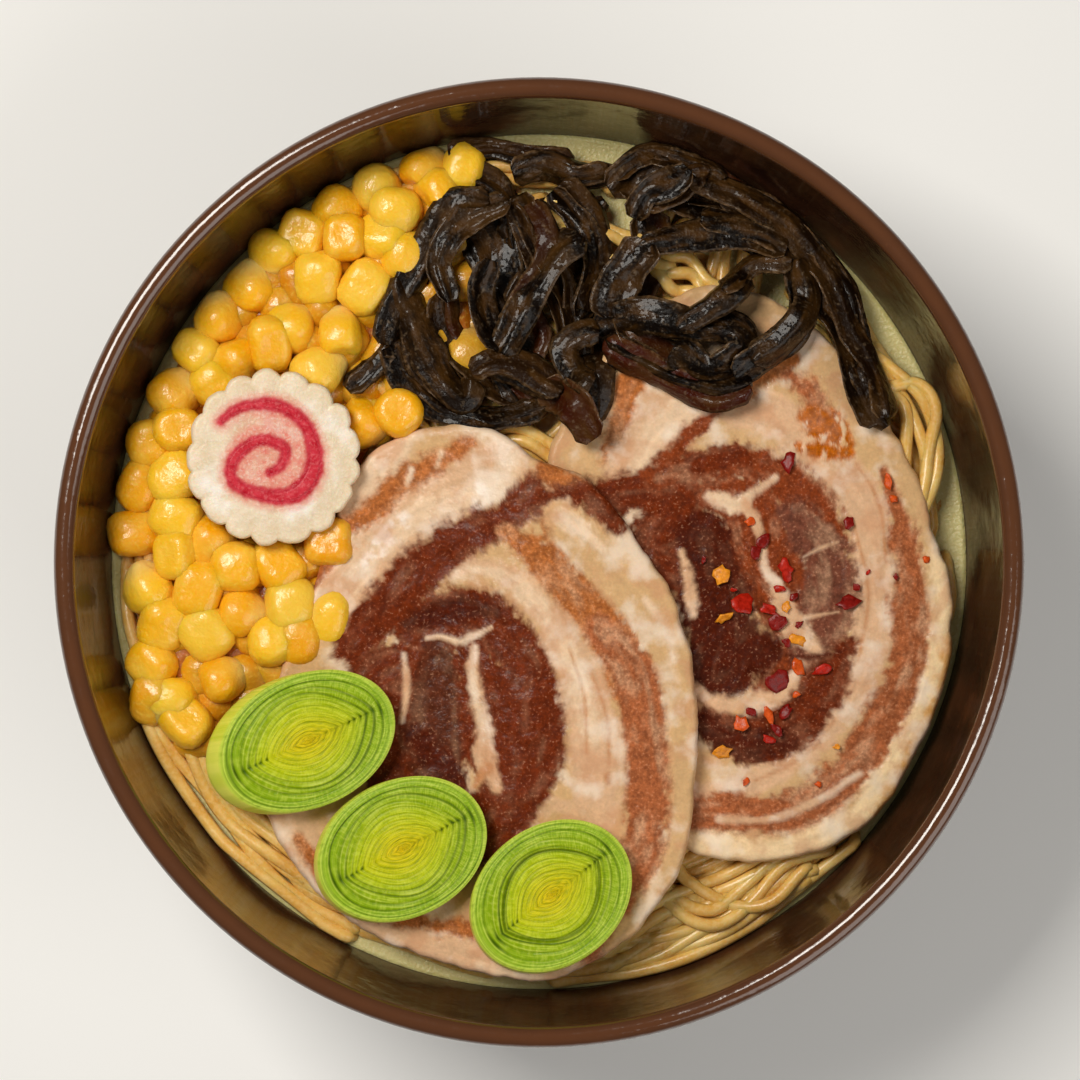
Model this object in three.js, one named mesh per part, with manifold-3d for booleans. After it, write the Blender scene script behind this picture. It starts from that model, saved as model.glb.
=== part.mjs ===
// A bowl of ramen seen from its origin at the centre of the foot, +Z up, millimetres.
// The bowl is a lathe form. The soup fills it to SOUP_Z, the noodle nest stands in the soup, and the
// toppings lie on the nest: two slices of rolled pork, a heap of sweetcorn, a heap of black fungus
// strips, a slice of swirled fish cake and three slices of leek.
// Each upper piece is cut out of the ones below it with a small clearance, so nothing overlaps.
import * as THREE from "three";
import { mergeVertices } from "three/addons/utils/BufferGeometryUtils.js";
import Module from "manifold-3d";

const wasm = await Module();
wasm.setup();

// ---- Driving dimensions -------------------------------------------------------------------------
const CLEARANCE = 0.3; // gap between touching pieces

const FOOT_RADIUS = 38;
const FOOT_WIDTH = 5;
const FOOT_HEIGHT = 7;
const FOOT_CHAMFER = 0.6;
const RECESS_HEIGHT = 5; // hollow under the foot ring
const FLOOR_Z = 11; // inside floor of the bowl
const FLOOR_RADIUS = 26;
const RIM_Z = 80;
const RIM_RADIUS = 95.5;
const LIP_RADIUS = 2.1; // half the wall thickness at the rim
const BOWL_SECTORS = 48;
const WALL_STEPS = 8;
const LIP_STEPS = 4;

const SOUP_Z = 55;

const NEST_CENTRE_Z = 58.6; // top of the noodle nest in the middle
const NEST_EDGE_Z = 55.8; // and where it meets the wall
const NEST_SKIRT_Z = 49; // where the nest's side turns under
const NEST_DEPTH_Z = 24; // lowest point of the nest
const NEST_WAVE = 0.35;

const SLICE_THICKNESS = 4.5;
const SLICE_BASE_Z = 58.8;
const SLICE_WAVE = 0.2;
const DRAPE_RISE = SLICE_THICKNESS + 0.5; // how far the front slice climbs over the back one
const DRAPE_FROM_X = -24;
const DRAPE_TO_X = 0.5;

const CORN_BASE_Z = 54.5;
const CORN_HEIGHT = 10.5;
const CORN_WAVE = 1.1;
const KERNEL_PITCH = 8.5;

const FUNGUS_BASE_Z = 55.5;
const FUNGUS_HEIGHT = 14.5;
const TRAIL_HEIGHT = 12;
const FUNGUS_WAVE = 1.2;
const STRIP_PITCH = 11;

const LEEK_THICKNESS = 5.2;
const LEEK_SECTORS = 32;

const FISH_CAKE_RADIUS = 17.3;
const FISH_CAKE_LOBE = 1.5; // height of a scallop
const FISH_CAKE_LOBES = 17;
const FISH_CAKE_THICKNESS = 4.6;
const SWIRL_HALF_WIDTH = 1.0;

// ---- Outlines, as the few points that each needs ------------------------------------------------
// Front pork slice, anticlockwise from the tip where the roll ends.
const FRONT_OUTLINE = [
  [21, 3], [10, 16.5], [-1, 21.5], [-8, 26.5], [-22, 27.5], [-35, 21.5], [-41.5, 8], [-47, -8],
  [-53, -24], [-57.5, -40], [-54, -54], [-43.5, -68], [-30, -77], [-12, -82.5], [3, -83.6],
  [18, -75.5], [28.5, -61.5], [31.6, -43.5], [31.6, -25.5], [28, -8],
];
const FRONT_CENTRE = [-11, -28];

// Back pork slice, anticlockwise from its right side.
const BACK_OUTLINE = [
  [83.4, -7.5], [80.2, 5], [75, 20.5], [66.5, 34.5], [57, 46], [44, 54.5], [30, 55], [17, 47],
  [8, 35], [1.5, 22.5], [2, 8], [5, -12], [9, -34], [18, -51], [30, -58.5], [43, -60.6],
  [58, -57.6], [68.5, -51], [76, -39], [82, -23],
];
const BACK_CENTRE = [43, -3];

const CORN_OUTLINE = [
  [-27, 80.5], [-42, 73.5], [-57, 62.5], [-70, 47], [-79, 29], [-83.2, 12], [-83.5, -5],
  [-79.5, -24], [-73, -38], [-62, -37], [-52, -29], [-43, -18], [-38, -4], [-37, 12],
  [-33, 24], [-22, 30], [-13, 42], [-12, 62], [-10, 78],
];
const CORN_CENTRE = [-52, 22];

const FUNGUS_OUTLINE = [
  [-16, 82], [-22, 72], [-27, 56], [-28, 46], [-37, 36], [-27, 33], [-18, 27], [-5, 27],
  [12, 24.5], [17, 37], [24, 37], [36, 34], [46, 38], [54, 44], [60, 54], [56, 62.5],
  [46, 70.5], [32, 78], [10, 82.5],
];
const FUNGUS_CENTRE = [10, 55];

// Strips that trail down the right side of the fungus heap.
const TRAIL_OUTLINE = [
  [66.5, 25], [71, 30], [70, 40], [66, 49], [57, 60], [48, 66], [46, 58], [54, 47], [60, 37],
];
const TRAIL_CENTRE = [60, 50];

const NEST_OUTLINE = [
  [80.5, 20], [74, 34], [64, 47], [50, 60], [30, 72], [8, 79], [-20, 79], [-48, 66], [-68, 45],
  [-80, 18], [-82, -10], [-74, -36], [-57, -60], [-32, -76], [0, -82.5], [34, -75.5],
  [58, -58], [74, -34], [80.5, -8],
];

// The line of the pink swirl, from its outer tail inwards, about the fish cake's centre.
const SWIRL_LINE = [
  [-10.2, 7.3], [-7, 9.8], [0.5, 10.6], [5.8, 7.4], [8.2, 1.8], [7.6, -3.6], [3.7, -7.3],
  [-3.9, -6.8], [-8.2, -4], [-7.3, 0.5], [-1.8, 3.7], [2.4, 1.8], [1.6, -1.4], [-0.6, -2.7],
];

// Where the leeks and the fish cake lie: centre of the underside, long axis turn, tilt and size.
const LEEKS = [
  { name: "leek_1", at: [-46, -35.6, 64.2], turn: 25, tilt: 0, size: [18.2, 13.2], lean: [3.6, 0.8] },
  { name: "leek_2", at: [-26.8, -57, 65.3], turn: 27, tilt: 4, size: [17.6, 13.6], lean: [1.6, 0.6] },
  { name: "leek_3", at: [2.8, -66.1, 67.5], turn: 38, tilt: 4, size: [17.2, 13.8], lean: [0.8, 0.8] },
];
const FISH_CAKE = { at: [-53.2, 20.8, 64.2], tilt: [2, 3] };

// ---- Geometry helpers ---------------------------------------------------------------------------
const radians = THREE.MathUtils.degToRad;
const smooth = THREE.MathUtils.smoothstep;

function closedCurve(points) {
  const stops = points.map(([x, y]) => new THREE.Vector3(x, y, 0));
  return new THREE.CatmullRomCurve3(stops, true, "centripetal");
}

function bufferGeometry(vertices, triangles) {
  const geometry = new THREE.BufferGeometry();
  geometry.setAttribute("position", new THREE.Float32BufferAttribute(vertices, 3));
  geometry.setIndex(triangles);
  geometry.computeVertexNormals();
  return geometry;
}

function toSolid(geometry) {
  const bare = geometry.clone();
  for (const name of Object.keys(bare.attributes)) {
    if (name !== "position") bare.deleteAttribute(name);
  }
  const merged = mergeVertices(bare, 1e-4);
  return new wasm.Manifold(
    new wasm.Mesh({
      numProp: 3,
      vertProperties: new Float32Array(merged.attributes.position.array),
      triVerts: new Uint32Array(merged.index.array),
    }),
  );
}

function toGeometry(solid) {
  const mesh = solid.getMesh();
  return bufferGeometry(Array.from(mesh.vertProperties), Array.from(mesh.triVerts));
}

function largestBody(solid) {
  return solid.decompose().reduce((a, b) => (a.volume() >= b.volume() ? a : b));
}

// A closed solid over a smooth outline. topZ and bottomZ give its heights at (x, y), and at the
// share of the way from the centre to the edge. grow makes it larger all round.
function layerSolid({ outline, centre, sectors, rings, topZ, bottomZ }, grow = 0) {
  const curve = closedCurve(outline);
  const edge = [];
  for (let i = 0; i < sectors; i++) {
    const p = curve.getPoint(i / sectors);
    const reach = new THREE.Vector2(p.x - centre[0], p.y - centre[1]);
    edge.push(reach.setLength(reach.length() + grow));
  }
  const vertices = [];
  const addRings = (heightAt, offset) => {
    vertices.push(centre[0], centre[1], heightAt(centre[0], centre[1], 0) + offset);
    for (let ring = 1; ring <= rings; ring++) {
      const share = ring / rings;
      for (const reach of edge) {
        const x = centre[0] + reach.x * share;
        const y = centre[1] + reach.y * share;
        vertices.push(x, y, heightAt(x, y, share) + offset);
      }
    }
  };
  addRings(topZ, grow);
  addRings(bottomZ, -grow);
  const under = 1 + rings * sectors;
  const at = (ring, i) => 1 + (ring - 1) * sectors + (i % sectors);
  const triangles = [];
  for (let i = 0; i < sectors; i++) {
    triangles.push(0, at(1, i), at(1, i + 1));
    triangles.push(under, under + at(1, i + 1), under + at(1, i));
    for (let ring = 1; ring < rings; ring++) {
      const [a, b] = [at(ring, i), at(ring, i + 1)];
      const [c, d] = [at(ring + 1, i), at(ring + 1, i + 1)];
      triangles.push(a, c, d, a, d, b);
      triangles.push(under + a, under + d, under + c, under + a, under + b, under + d);
    }
    const [a, b] = [at(rings, i), at(rings, i + 1)];
    triangles.push(a, under + a, under + b, a, under + b, b);
  }
  return bufferGeometry(vertices, triangles);
}

// ---- The bowl -----------------------------------------------------------------------------------
const lipCentre = new THREE.Vector2(RIM_RADIUS - LIP_RADIUS, RIM_Z - LIP_RADIUS);
const outerWall = new THREE.CubicBezierCurve(
  new THREE.Vector2(FOOT_RADIUS, FOOT_HEIGHT),
  new THREE.Vector2(70, 11),
  new THREE.Vector2(89, 38),
  new THREE.Vector2(RIM_RADIUS, lipCentre.y),
);
const innerWall = new THREE.CubicBezierCurve(
  new THREE.Vector2(FLOOR_RADIUS, FLOOR_Z),
  new THREE.Vector2(66, 14),
  new THREE.Vector2(87, 39),
  new THREE.Vector2(RIM_RADIUS - 2 * LIP_RADIUS, lipCentre.y),
);

// Radius of the inside wall at a height, by halving along the curve.
function innerRadiusAt(z) {
  let [low, high] = [0, 1];
  for (let i = 0; i < 30; i++) {
    const middle = (low + high) / 2;
    if (innerWall.getPoint(middle).y < z) low = middle;
    else high = middle;
  }
  return innerWall.getPoint(low).x;
}

function latheAboutZ(profile) {
  return new THREE.LatheGeometry(profile, BOWL_SECTORS).rotateX(Math.PI / 2);
}

function bowlGeometry() {
  const profile = [
    new THREE.Vector2(0, RECESS_HEIGHT),
    new THREE.Vector2(FOOT_RADIUS - FOOT_WIDTH, RECESS_HEIGHT),
    new THREE.Vector2(FOOT_RADIUS - FOOT_WIDTH, FOOT_CHAMFER),
    new THREE.Vector2(FOOT_RADIUS - FOOT_WIDTH + FOOT_CHAMFER, 0),
    new THREE.Vector2(FOOT_RADIUS - FOOT_CHAMFER, 0),
    new THREE.Vector2(FOOT_RADIUS, FOOT_CHAMFER),
    ...outerWall.getPoints(WALL_STEPS),
  ];
  for (let i = 1; i < LIP_STEPS; i++) {
    const angle = (Math.PI * i) / LIP_STEPS;
    const rise = new THREE.Vector2(Math.cos(angle), Math.sin(angle)).multiplyScalar(LIP_RADIUS);
    profile.push(lipCentre.clone().add(rise));
  }
  profile.push(...innerWall.getPoints(WALL_STEPS).reverse(), new THREE.Vector2(0, FLOOR_Z));
  return latheAboutZ(profile);
}

function soupGeometry() {
  const wetted = innerWall.getPoints(WALL_STEPS).filter((p) => p.y < SOUP_Z - 2);
  const surfaceRadius = innerRadiusAt(SOUP_Z) - CLEARANCE;
  const profile = [
    new THREE.Vector2(0, FLOOR_Z + CLEARANCE),
    ...wetted.map((p) => new THREE.Vector2(p.x - CLEARANCE, p.y + CLEARANCE)),
    new THREE.Vector2(surfaceRadius, SOUP_Z),
    new THREE.Vector2(0, SOUP_Z),
  ];
  return latheAboutZ(profile);
}

// ---- Layers in and on the soup ------------------------------------------------------------------
const ripple = (x, y, pitch) =>
  Math.sin((2 * Math.PI * x) / pitch) * Math.cos((2 * Math.PI * (y + 0.3 * x)) / pitch);

const nest = {
  outline: NEST_OUTLINE,
  centre: [0, 0],
  sectors: 40,
  rings: 3,
  topZ: (x, y, share) =>
    THREE.MathUtils.lerp(NEST_CENTRE_Z, NEST_EDGE_Z, share ** 3) + NEST_WAVE * ripple(x, y, 17),
  bottomZ: (x, y, share) => THREE.MathUtils.lerp(NEST_DEPTH_Z, NEST_SKIRT_Z, share ** 2),
};

const sliceWave = (x, y) => SLICE_WAVE * ripple(x, y, 60);
const drape = (x) => DRAPE_RISE * smooth(x, DRAPE_FROM_X, DRAPE_TO_X);

const backSlice = {
  outline: BACK_OUTLINE,
  centre: BACK_CENTRE,
  sectors: 40,
  rings: 2,
  topZ: (x, y) => SLICE_BASE_Z + SLICE_THICKNESS + sliceWave(x, y),
  bottomZ: (x, y) => SLICE_BASE_Z + sliceWave(x, y),
};

const frontSlice = {
  outline: FRONT_OUTLINE,
  centre: FRONT_CENTRE,
  sectors: 40,
  rings: 4,
  topZ: (x, y) => SLICE_BASE_Z + SLICE_THICKNESS + drape(x) + sliceWave(x, y),
  bottomZ: (x, y) => SLICE_BASE_Z + drape(x) + sliceWave(x, y),
};

function heap(outline, centre, baseZ, height, wave, pitch, sectors, rings) {
  return {
    outline,
    centre,
    sectors,
    rings,
    topZ: (x, y, share) =>
      baseZ + 2.5 + (height - 2.5) * (1 - share ** 4) + wave * ripple(x, y, pitch) * (1 - share ** 8),
    bottomZ: () => baseZ,
  };
}
const cornHeap = heap(
  CORN_OUTLINE, CORN_CENTRE, CORN_BASE_Z, CORN_HEIGHT, CORN_WAVE, KERNEL_PITCH, 36, 5,
);
const fungusHeap = heap(
  FUNGUS_OUTLINE, FUNGUS_CENTRE, FUNGUS_BASE_Z, FUNGUS_HEIGHT, FUNGUS_WAVE, STRIP_PITCH, 40, 4,
);
const fungusTrail = heap(
  TRAIL_OUTLINE, TRAIL_CENTRE, FUNGUS_BASE_Z, TRAIL_HEIGHT, FUNGUS_WAVE, STRIP_PITCH, 20, 2,
);

// ---- Slices of leek and fish cake, made flat about their own centres ------------------------------
// A leek slice cut on the slant: an oval whose top is pushed over by lean, as its wall slopes.
function leekGeometry({ size, lean, turn }, grow = 0) {
  const levels = [
    { z: -grow, share: 0, inset: 0.4 },
    { z: 0.5, share: 0.1, inset: 0 },
    { z: LEEK_THICKNESS - 0.4, share: 0.92, inset: 0 },
    { z: LEEK_THICKNESS + grow, share: 1, inset: 0.35 },
  ];
  const vertices = [];
  for (const { z, share, inset } of levels) {
    for (let i = 0; i < LEEK_SECTORS; i++) {
      const angle = (2 * Math.PI * i) / LEEK_SECTORS;
      const x = (size[0] + grow - inset) * Math.cos(angle);
      const y = (size[1] + grow - inset) * Math.sin(angle);
      const [c, s] = [Math.cos(radians(turn)), Math.sin(radians(turn))];
      vertices.push(x * c - y * s + lean[0] * (share - 1), x * s + y * c + lean[1] * (share - 1), z);
    }
  }
  const bottomCentre = vertices.length / 3;
  vertices.push(-lean[0], -lean[1], -grow, 0, 0, LEEK_THICKNESS + grow);
  const triangles = [];
  for (let i = 0; i < LEEK_SECTORS; i++) {
    const next = (i + 1) % LEEK_SECTORS;
    for (let level = 0; level < levels.length - 1; level++) {
      const [low, high] = [level * LEEK_SECTORS, (level + 1) * LEEK_SECTORS];
      triangles.push(low + i, low + next, high + next, low + i, high + next, high + i);
    }
    const top = (levels.length - 1) * LEEK_SECTORS;
    triangles.push(bottomCentre, next, i, bottomCentre + 1, top + i, top + next);
  }
  return bufferGeometry(vertices, triangles);
}

function extrude(points, depth, startZ) {
  const shape = new THREE.Shape(points);
  const options = { depth, bevelEnabled: false };
  return new THREE.ExtrudeGeometry(shape, options).translate(0, 0, startZ);
}

// Rounded lobes that meet in sharp valleys all round the edge.
function fishCakeGeometry(grow = 0) {
  const steps = FISH_CAKE_LOBES * 4;
  const points = [];
  for (let i = 0; i < steps; i++) {
    const angle = (2 * Math.PI * i) / steps;
    const lobe = Math.abs(Math.sin((FISH_CAKE_LOBES * angle) / 2)) ** 0.7;
    const radius = FISH_CAKE_RADIUS - FISH_CAKE_LOBE / 2 + FISH_CAKE_LOBE * lobe + grow;
    points.push(new THREE.Vector2(radius * Math.cos(angle), radius * Math.sin(angle)));
  }
  return extrude(points, FISH_CAKE_THICKNESS + 2 * grow, -grow);
}

// The band of pink fish paste: a strip of varying width along the swirl's line.
function swirlGeometry(grow = 0, reach = 0) {
  const stops = SWIRL_LINE.map(([x, y]) => new THREE.Vector3(x, y, 0));
  const line = new THREE.CatmullRomCurve3(stops, false, "centripetal");
  const steps = 34;
  const [left, right] = [[], []];
  for (let i = 0; i <= steps; i++) {
    const share = i / steps;
    const point = line.getPoint(share);
    const along = line.getTangent(share);
    const taper = Math.min(1, 0.45 + 4 * share, 0.6 + 3 * (1 - share));
    const swell = 0.7 * Math.exp(-(((share - 0.45) / 0.12) ** 2));
    const half = (SWIRL_HALF_WIDTH + swell) * taper + grow;
    const tip = i === 0 ? -grow : i === steps ? grow : 0;
    const [x, y] = [point.x + along.x * tip, point.y + along.y * tip];
    left.push(new THREE.Vector2(x - along.y * half, y + along.x * half));
    right.unshift(new THREE.Vector2(x + along.y * half, y - along.x * half));
  }
  return extrude([...left, ...right], FISH_CAKE_THICKNESS + 2 * reach, -reach);
}

// ---- Assembly, from the top piece down -------------------------------------------------------------
const group = new THREE.Group();
const uppers = []; // grown solids of everything placed so far

function material(colour, roughness) {
  return new THREE.MeshStandardMaterial({ color: colour, roughness, metalness: 0 });
}

function addMesh(name, geometry, colour, roughness) {
  const mesh = new THREE.Mesh(geometry, material(colour, roughness));
  mesh.name = name;
  group.add(mesh);
  return mesh;
}

// Adds a piece that lies among others: what is above it is cut away from it.
function addLayer(name, solid, grown, colour, roughness) {
  const cut = uppers.reduce((rest, upper) => rest.subtract(upper), solid);
  uppers.push(grown);
  return addMesh(name, toGeometry(largestBody(cut)), colour, roughness);
}

// Fish cake with its swirl, on the corn.
const fishCakeGroup = new THREE.Group();
fishCakeGroup.position.set(...FISH_CAKE.at);
fishCakeGroup.rotation.set(radians(FISH_CAKE.tilt[0]), radians(FISH_CAKE.tilt[1]), 0);
fishCakeGroup.updateMatrix();
const swirl = addMesh("fish_cake_swirl", swirlGeometry(), 0xc8324a, 0.5);
const swirlSlot = toSolid(swirlGeometry(CLEARANCE, 1));
const cakeBody = toGeometry(toSolid(fishCakeGeometry()).subtract(swirlSlot));
const cake = addMesh("fish_cake", cakeBody, 0xf0e2c8, 0.5);
fishCakeGroup.add(cake, swirl);
group.add(fishCakeGroup);
uppers.push(toSolid(fishCakeGeometry(CLEARANCE).applyMatrix4(fishCakeGroup.matrix)));

// Leek slices, on the front pork slice.
for (const leek of LEEKS) {
  const mesh = addMesh(leek.name, leekGeometry(leek), 0x9dbb35, 0.45);
  mesh.position.set(...leek.at);
  mesh.rotation.y = radians(-leek.tilt);
  mesh.updateMatrix();
  uppers.push(toSolid(leekGeometry(leek, CLEARANCE).applyMatrix4(mesh.matrix)));
}

// A piece of one or more layers joined into one solid.
function addShaped(name, shapes, colour, roughness) {
  const joined = (grow) => wasm.Manifold.union(shapes.map((s) => toSolid(layerSolid(s, grow))));
  return addLayer(name, joined(0), joined(CLEARANCE), colour, roughness);
}
addShaped("pork_front", [frontSlice], 0xa86a48, 0.4);
addShaped("pork_back", [backSlice], 0xa86a48, 0.4);
addShaped("fungus", [fungusHeap, fungusTrail], 0x2c1e18, 0.3);
addShaped("corn", [cornHeap], 0xf0b429, 0.35);
addShaped("noodles", [nest], 0xe2bd6a, 0.4);

const soupSolid = toSolid(soupGeometry());
addLayer("soup", soupSolid, soupSolid, 0xc2b273, 0.3);
addMesh("bowl", bowlGeometry(), 0x2e1a10, 0.25);

export default group;
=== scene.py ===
"""Looks for a bowl of ramen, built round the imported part.

Shapes are worked out in millimetres, in the part's frame (+Z up, origin at the middle of the foot),
and become metres when a piece is made.
"""
import math

import bpy
import numpy as np
from mathutils import Matrix, Vector


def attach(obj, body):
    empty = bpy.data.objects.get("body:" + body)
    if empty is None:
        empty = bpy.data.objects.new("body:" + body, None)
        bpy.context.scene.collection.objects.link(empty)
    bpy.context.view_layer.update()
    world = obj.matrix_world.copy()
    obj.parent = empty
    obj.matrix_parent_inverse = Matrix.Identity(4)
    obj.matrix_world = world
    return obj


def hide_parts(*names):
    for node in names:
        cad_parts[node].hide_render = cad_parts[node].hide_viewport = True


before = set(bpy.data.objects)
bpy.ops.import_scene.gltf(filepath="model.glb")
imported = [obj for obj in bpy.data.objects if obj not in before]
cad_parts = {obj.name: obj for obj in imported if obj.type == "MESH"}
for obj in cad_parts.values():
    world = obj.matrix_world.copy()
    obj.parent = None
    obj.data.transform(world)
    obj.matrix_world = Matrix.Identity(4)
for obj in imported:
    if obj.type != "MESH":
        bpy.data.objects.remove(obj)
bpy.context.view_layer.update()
MM = 0.001


# ---- Numbers ------------------------------------------------------------------------------------
def srgb(red, green, blue):
    """Linear colour with alpha from 0-255 display values."""
    shown = np.array([red, green, blue]) / 255
    linear = np.where(shown <= 0.04045, shown / 12.92, ((shown + 0.055) / 1.055) ** 2.4)
    return (*linear.tolist(), 1.0)


def smooth(value, low, high):
    share = np.clip((value - low) / (high - low), 0, 1)
    return share * share * (3 - 2 * share)


def noise(x, y, pitch, seed, octaves=3):
    """Smooth random relief from about -1 to 1, its largest lumps pitch millimetres apart."""
    table = np.random.default_rng(seed).uniform(-1, 1, (64, 64))
    x, y = np.broadcast_arrays(np.asarray(x, float), np.asarray(y, float))
    total = np.zeros(x.shape)
    weight = 1.0
    for octave in range(octaves):
        u = x / pitch + 17.3 * octave
        v = y / pitch + 9.1 * octave
        i, j = np.floor(u).astype(int), np.floor(v).astype(int)
        a, b = smooth(u - i, 0, 1), smooth(v - j, 0, 1)
        low = table[i % 64, j % 64] * (1 - a) + table[(i + 1) % 64, j % 64] * a
        high = table[i % 64, (j + 1) % 64] * (1 - a) + table[(i + 1) % 64, (j + 1) % 64] * a
        total += weight * (low * (1 - b) + high * b)
        weight *= 0.55
        pitch *= 0.5
    return total / 1.6


def smooth_line(points, count, closed=False):
    """A centripetal Catmull-Rom curve through the points, sampled evenly along its length."""
    p = np.array(points, float)
    if closed:
        p = np.vstack([p[-1], p, p[:2]])
    else:
        p = np.vstack([2 * p[0] - p[1], p, 2 * p[-1] - p[-2]])
    dense = []
    for a, b, c, d in zip(p, p[1:], p[2:], p[3:]):
        t1 = math.sqrt(np.linalg.norm(b - a))
        t2 = t1 + math.sqrt(np.linalg.norm(c - b))
        t3 = t2 + math.sqrt(np.linalg.norm(d - c))
        t = np.linspace(t1, t2, 20, endpoint=False)[:, None]
        ab = a + (b - a) * t / t1
        bc = b + (c - b) * (t - t1) / (t2 - t1)
        cd = c + (d - c) * (t - t2) / (t3 - t2)
        abc = ab + (bc - ab) * t / t2
        bcd = bc + (cd - bc) * (t - t1) / (t3 - t1)
        dense.append(abc + (bcd - abc) * (t - t1) / (t2 - t1))
    line = np.vstack([*dense, p[-2][None]])
    run = np.concatenate([[0], np.cumsum(np.linalg.norm(np.diff(line, axis=0), axis=1))])
    at = np.linspace(0, run[-1], count, endpoint=not closed)
    return np.stack([np.interp(at, run, column) for column in line.T], axis=1)


def directions(line):
    """Unit vectors along a line, one for each of its points."""
    along = np.gradient(line, axis=0)
    return along / np.linalg.norm(along, axis=1)[:, None]


def full_turn(count):
    """Angles spaced evenly round a circle."""
    return np.linspace(0, 2 * math.pi, count, endpoint=False)


def bezier(a, b, c, d, count):
    t = np.linspace(0, 1, count)[:, None]
    a, b, c, d = (np.array(point, float) for point in (a, b, c, d))
    return a * (1 - t) ** 3 + 3 * b * t * (1 - t) ** 2 + 3 * c * t * t * (1 - t) + d * t**3


def distance_to(line, x, y):
    """Where points lie by a line of (x, y, half width) stops.

    Gives the signed distance from the line, the depth inside its edge and the way along it.
    """
    offset = np.full(np.shape(x), np.inf)
    inside = np.full(np.shape(x), -np.inf)
    along = np.zeros(np.shape(x))
    travelled = 0.0
    for a, b in zip(line, line[1:]):
        run = b[:2] - a[:2]
        length = max(math.hypot(*run), 1e-9)
        t = np.clip(((x - a[0]) * run[0] + (y - a[1]) * run[1]) / length**2, 0, 1)
        away = np.hypot(x - a[0] - t * run[0], y - a[1] - t * run[1])
        side = np.sign((x - a[0]) * run[1] - (y - a[1]) * run[0])
        closer = away < np.abs(offset)
        offset = np.where(closer, away * side, offset)
        along = np.where(closer, travelled + t * length, along)
        inside = np.maximum(inside, a[2] + (b[2] - a[2]) * t - away)
        travelled += length
    return offset, inside, along


# ---- Meshes -------------------------------------------------------------------------------------
class Skin:
    """A mesh gathered from closed skins, each a stack of rings with a point at each end."""

    def __init__(self):
        self.vertices, self.faces, self.values = [], [], {}
        self.count = 0

    def add(self, rings, start=None, end=None, **values):
        """The two end points are in the middle of the end rings unless they are given.

        values holds one number, or one colour, for the whole skin or for each ring vertex.
        """
        start = rings[0].mean(axis=0) if start is None else start
        end = rings[-1].mean(axis=0) if end is None else end
        rows, columns, _ = rings.shape
        ring = np.arange(rows * columns).reshape(rows, columns) + self.count
        after = np.roll(ring, -1, axis=1)
        quads = np.stack([ring[:-1], ring[1:], after[1:], after[:-1]], axis=-1).reshape(-1, 4)
        first, last = self.count + rows * columns, self.count + rows * columns + 1
        self.faces += quads.tolist()
        self.faces += [[first, a, b] for a, b in zip(ring[0].tolist(), after[0].tolist())]
        self.faces += [[last, b, a] for a, b in zip(ring[-1].tolist(), after[-1].tolist())]
        self.vertices += [rings.reshape(-1, 3), np.array([start, end], float)]
        for key, value in values.items():
            value = np.asarray(value, float)
            if value.shape[:2] == (rows, columns):
                flat = value.reshape(rows * columns, *value.shape[2:])
                ends = np.stack([flat[:columns].mean(axis=0), flat[-columns:].mean(axis=0)])
                value = np.concatenate([flat, ends])
            else:
                value = np.broadcast_to(value, (rows * columns + 2, *value.shape))
            self.values.setdefault(key, []).append(value)
        self.count += rows * columns + 2

    def piece(self, name, material, replaces=()):
        mesh = bpy.data.meshes.new(name)
        mesh.from_pydata((np.vstack(self.vertices) * MM).tolist(), [], self.faces)
        for key, parts in self.values.items():
            data = np.concatenate(parts)
            if data.ndim == 1:
                layer = mesh.attributes.new(key, "FLOAT", "POINT")
                layer.data.foreach_set("value", data)
            else:
                layer = mesh.attributes.new(key, "FLOAT_COLOR", "POINT")
                layer.data.foreach_set("color", data.ravel())
        mesh.shade_smooth()
        mesh.materials.append(material)
        body = bpy.data.objects.new(name, mesh)
        bpy.context.collection.objects.link(body)
        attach(body, "root")
        for node in replaces:
            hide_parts(node)
        return body


def lathe(profile, sectors):
    """Rings about Z from (radius, z) stops; the first and last stop are the two end points."""
    angle = full_turn(sectors)
    inner = np.array(profile[1:-1])
    rings = np.empty((len(inner), sectors, 3))
    rings[..., 0] = inner[:, :1] * np.cos(angle)
    rings[..., 1] = inner[:, :1] * np.sin(angle)
    rings[..., 2] = inner[:, 1:]
    return rings, (0, 0, profile[0][1]), (0, 0, profile[-1][1])


def sweep(path, section, twist=0.0, width=1.0):
    """Rings of a section of (across, up) stops along a path.

    twist turns the section, and width scales it across.
    """
    along = directions(path)
    across = np.cross(along, (0, 0, 1.0))
    across /= np.linalg.norm(across, axis=1)[:, None]
    up = np.cross(across, along)
    turn = np.broadcast_to(np.asarray(twist, float), len(path))[:, None]
    scale = np.broadcast_to(np.asarray(width, float), len(path))[:, None]
    side = across * np.cos(turn) + up * np.sin(turn)
    lift = up * np.cos(turn) - across * np.sin(turn)
    u, v = section[:, 0], section[:, 1]
    return (
        path[:, None]
        + side[:, None] * (u * scale)[..., None]
        + lift[:, None] * (v * np.ones_like(scale))[..., None]
    )


def circle(radius, count):
    angle = full_turn(count)
    return np.stack([radius * np.cos(angle), radius * np.sin(angle)], axis=1)


def placed(rings, matrix):
    """The rings moved by a 4 by 4 matrix."""
    m = np.array(matrix)
    return rings @ m[:3, :3].T + m[:3, 3]


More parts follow.
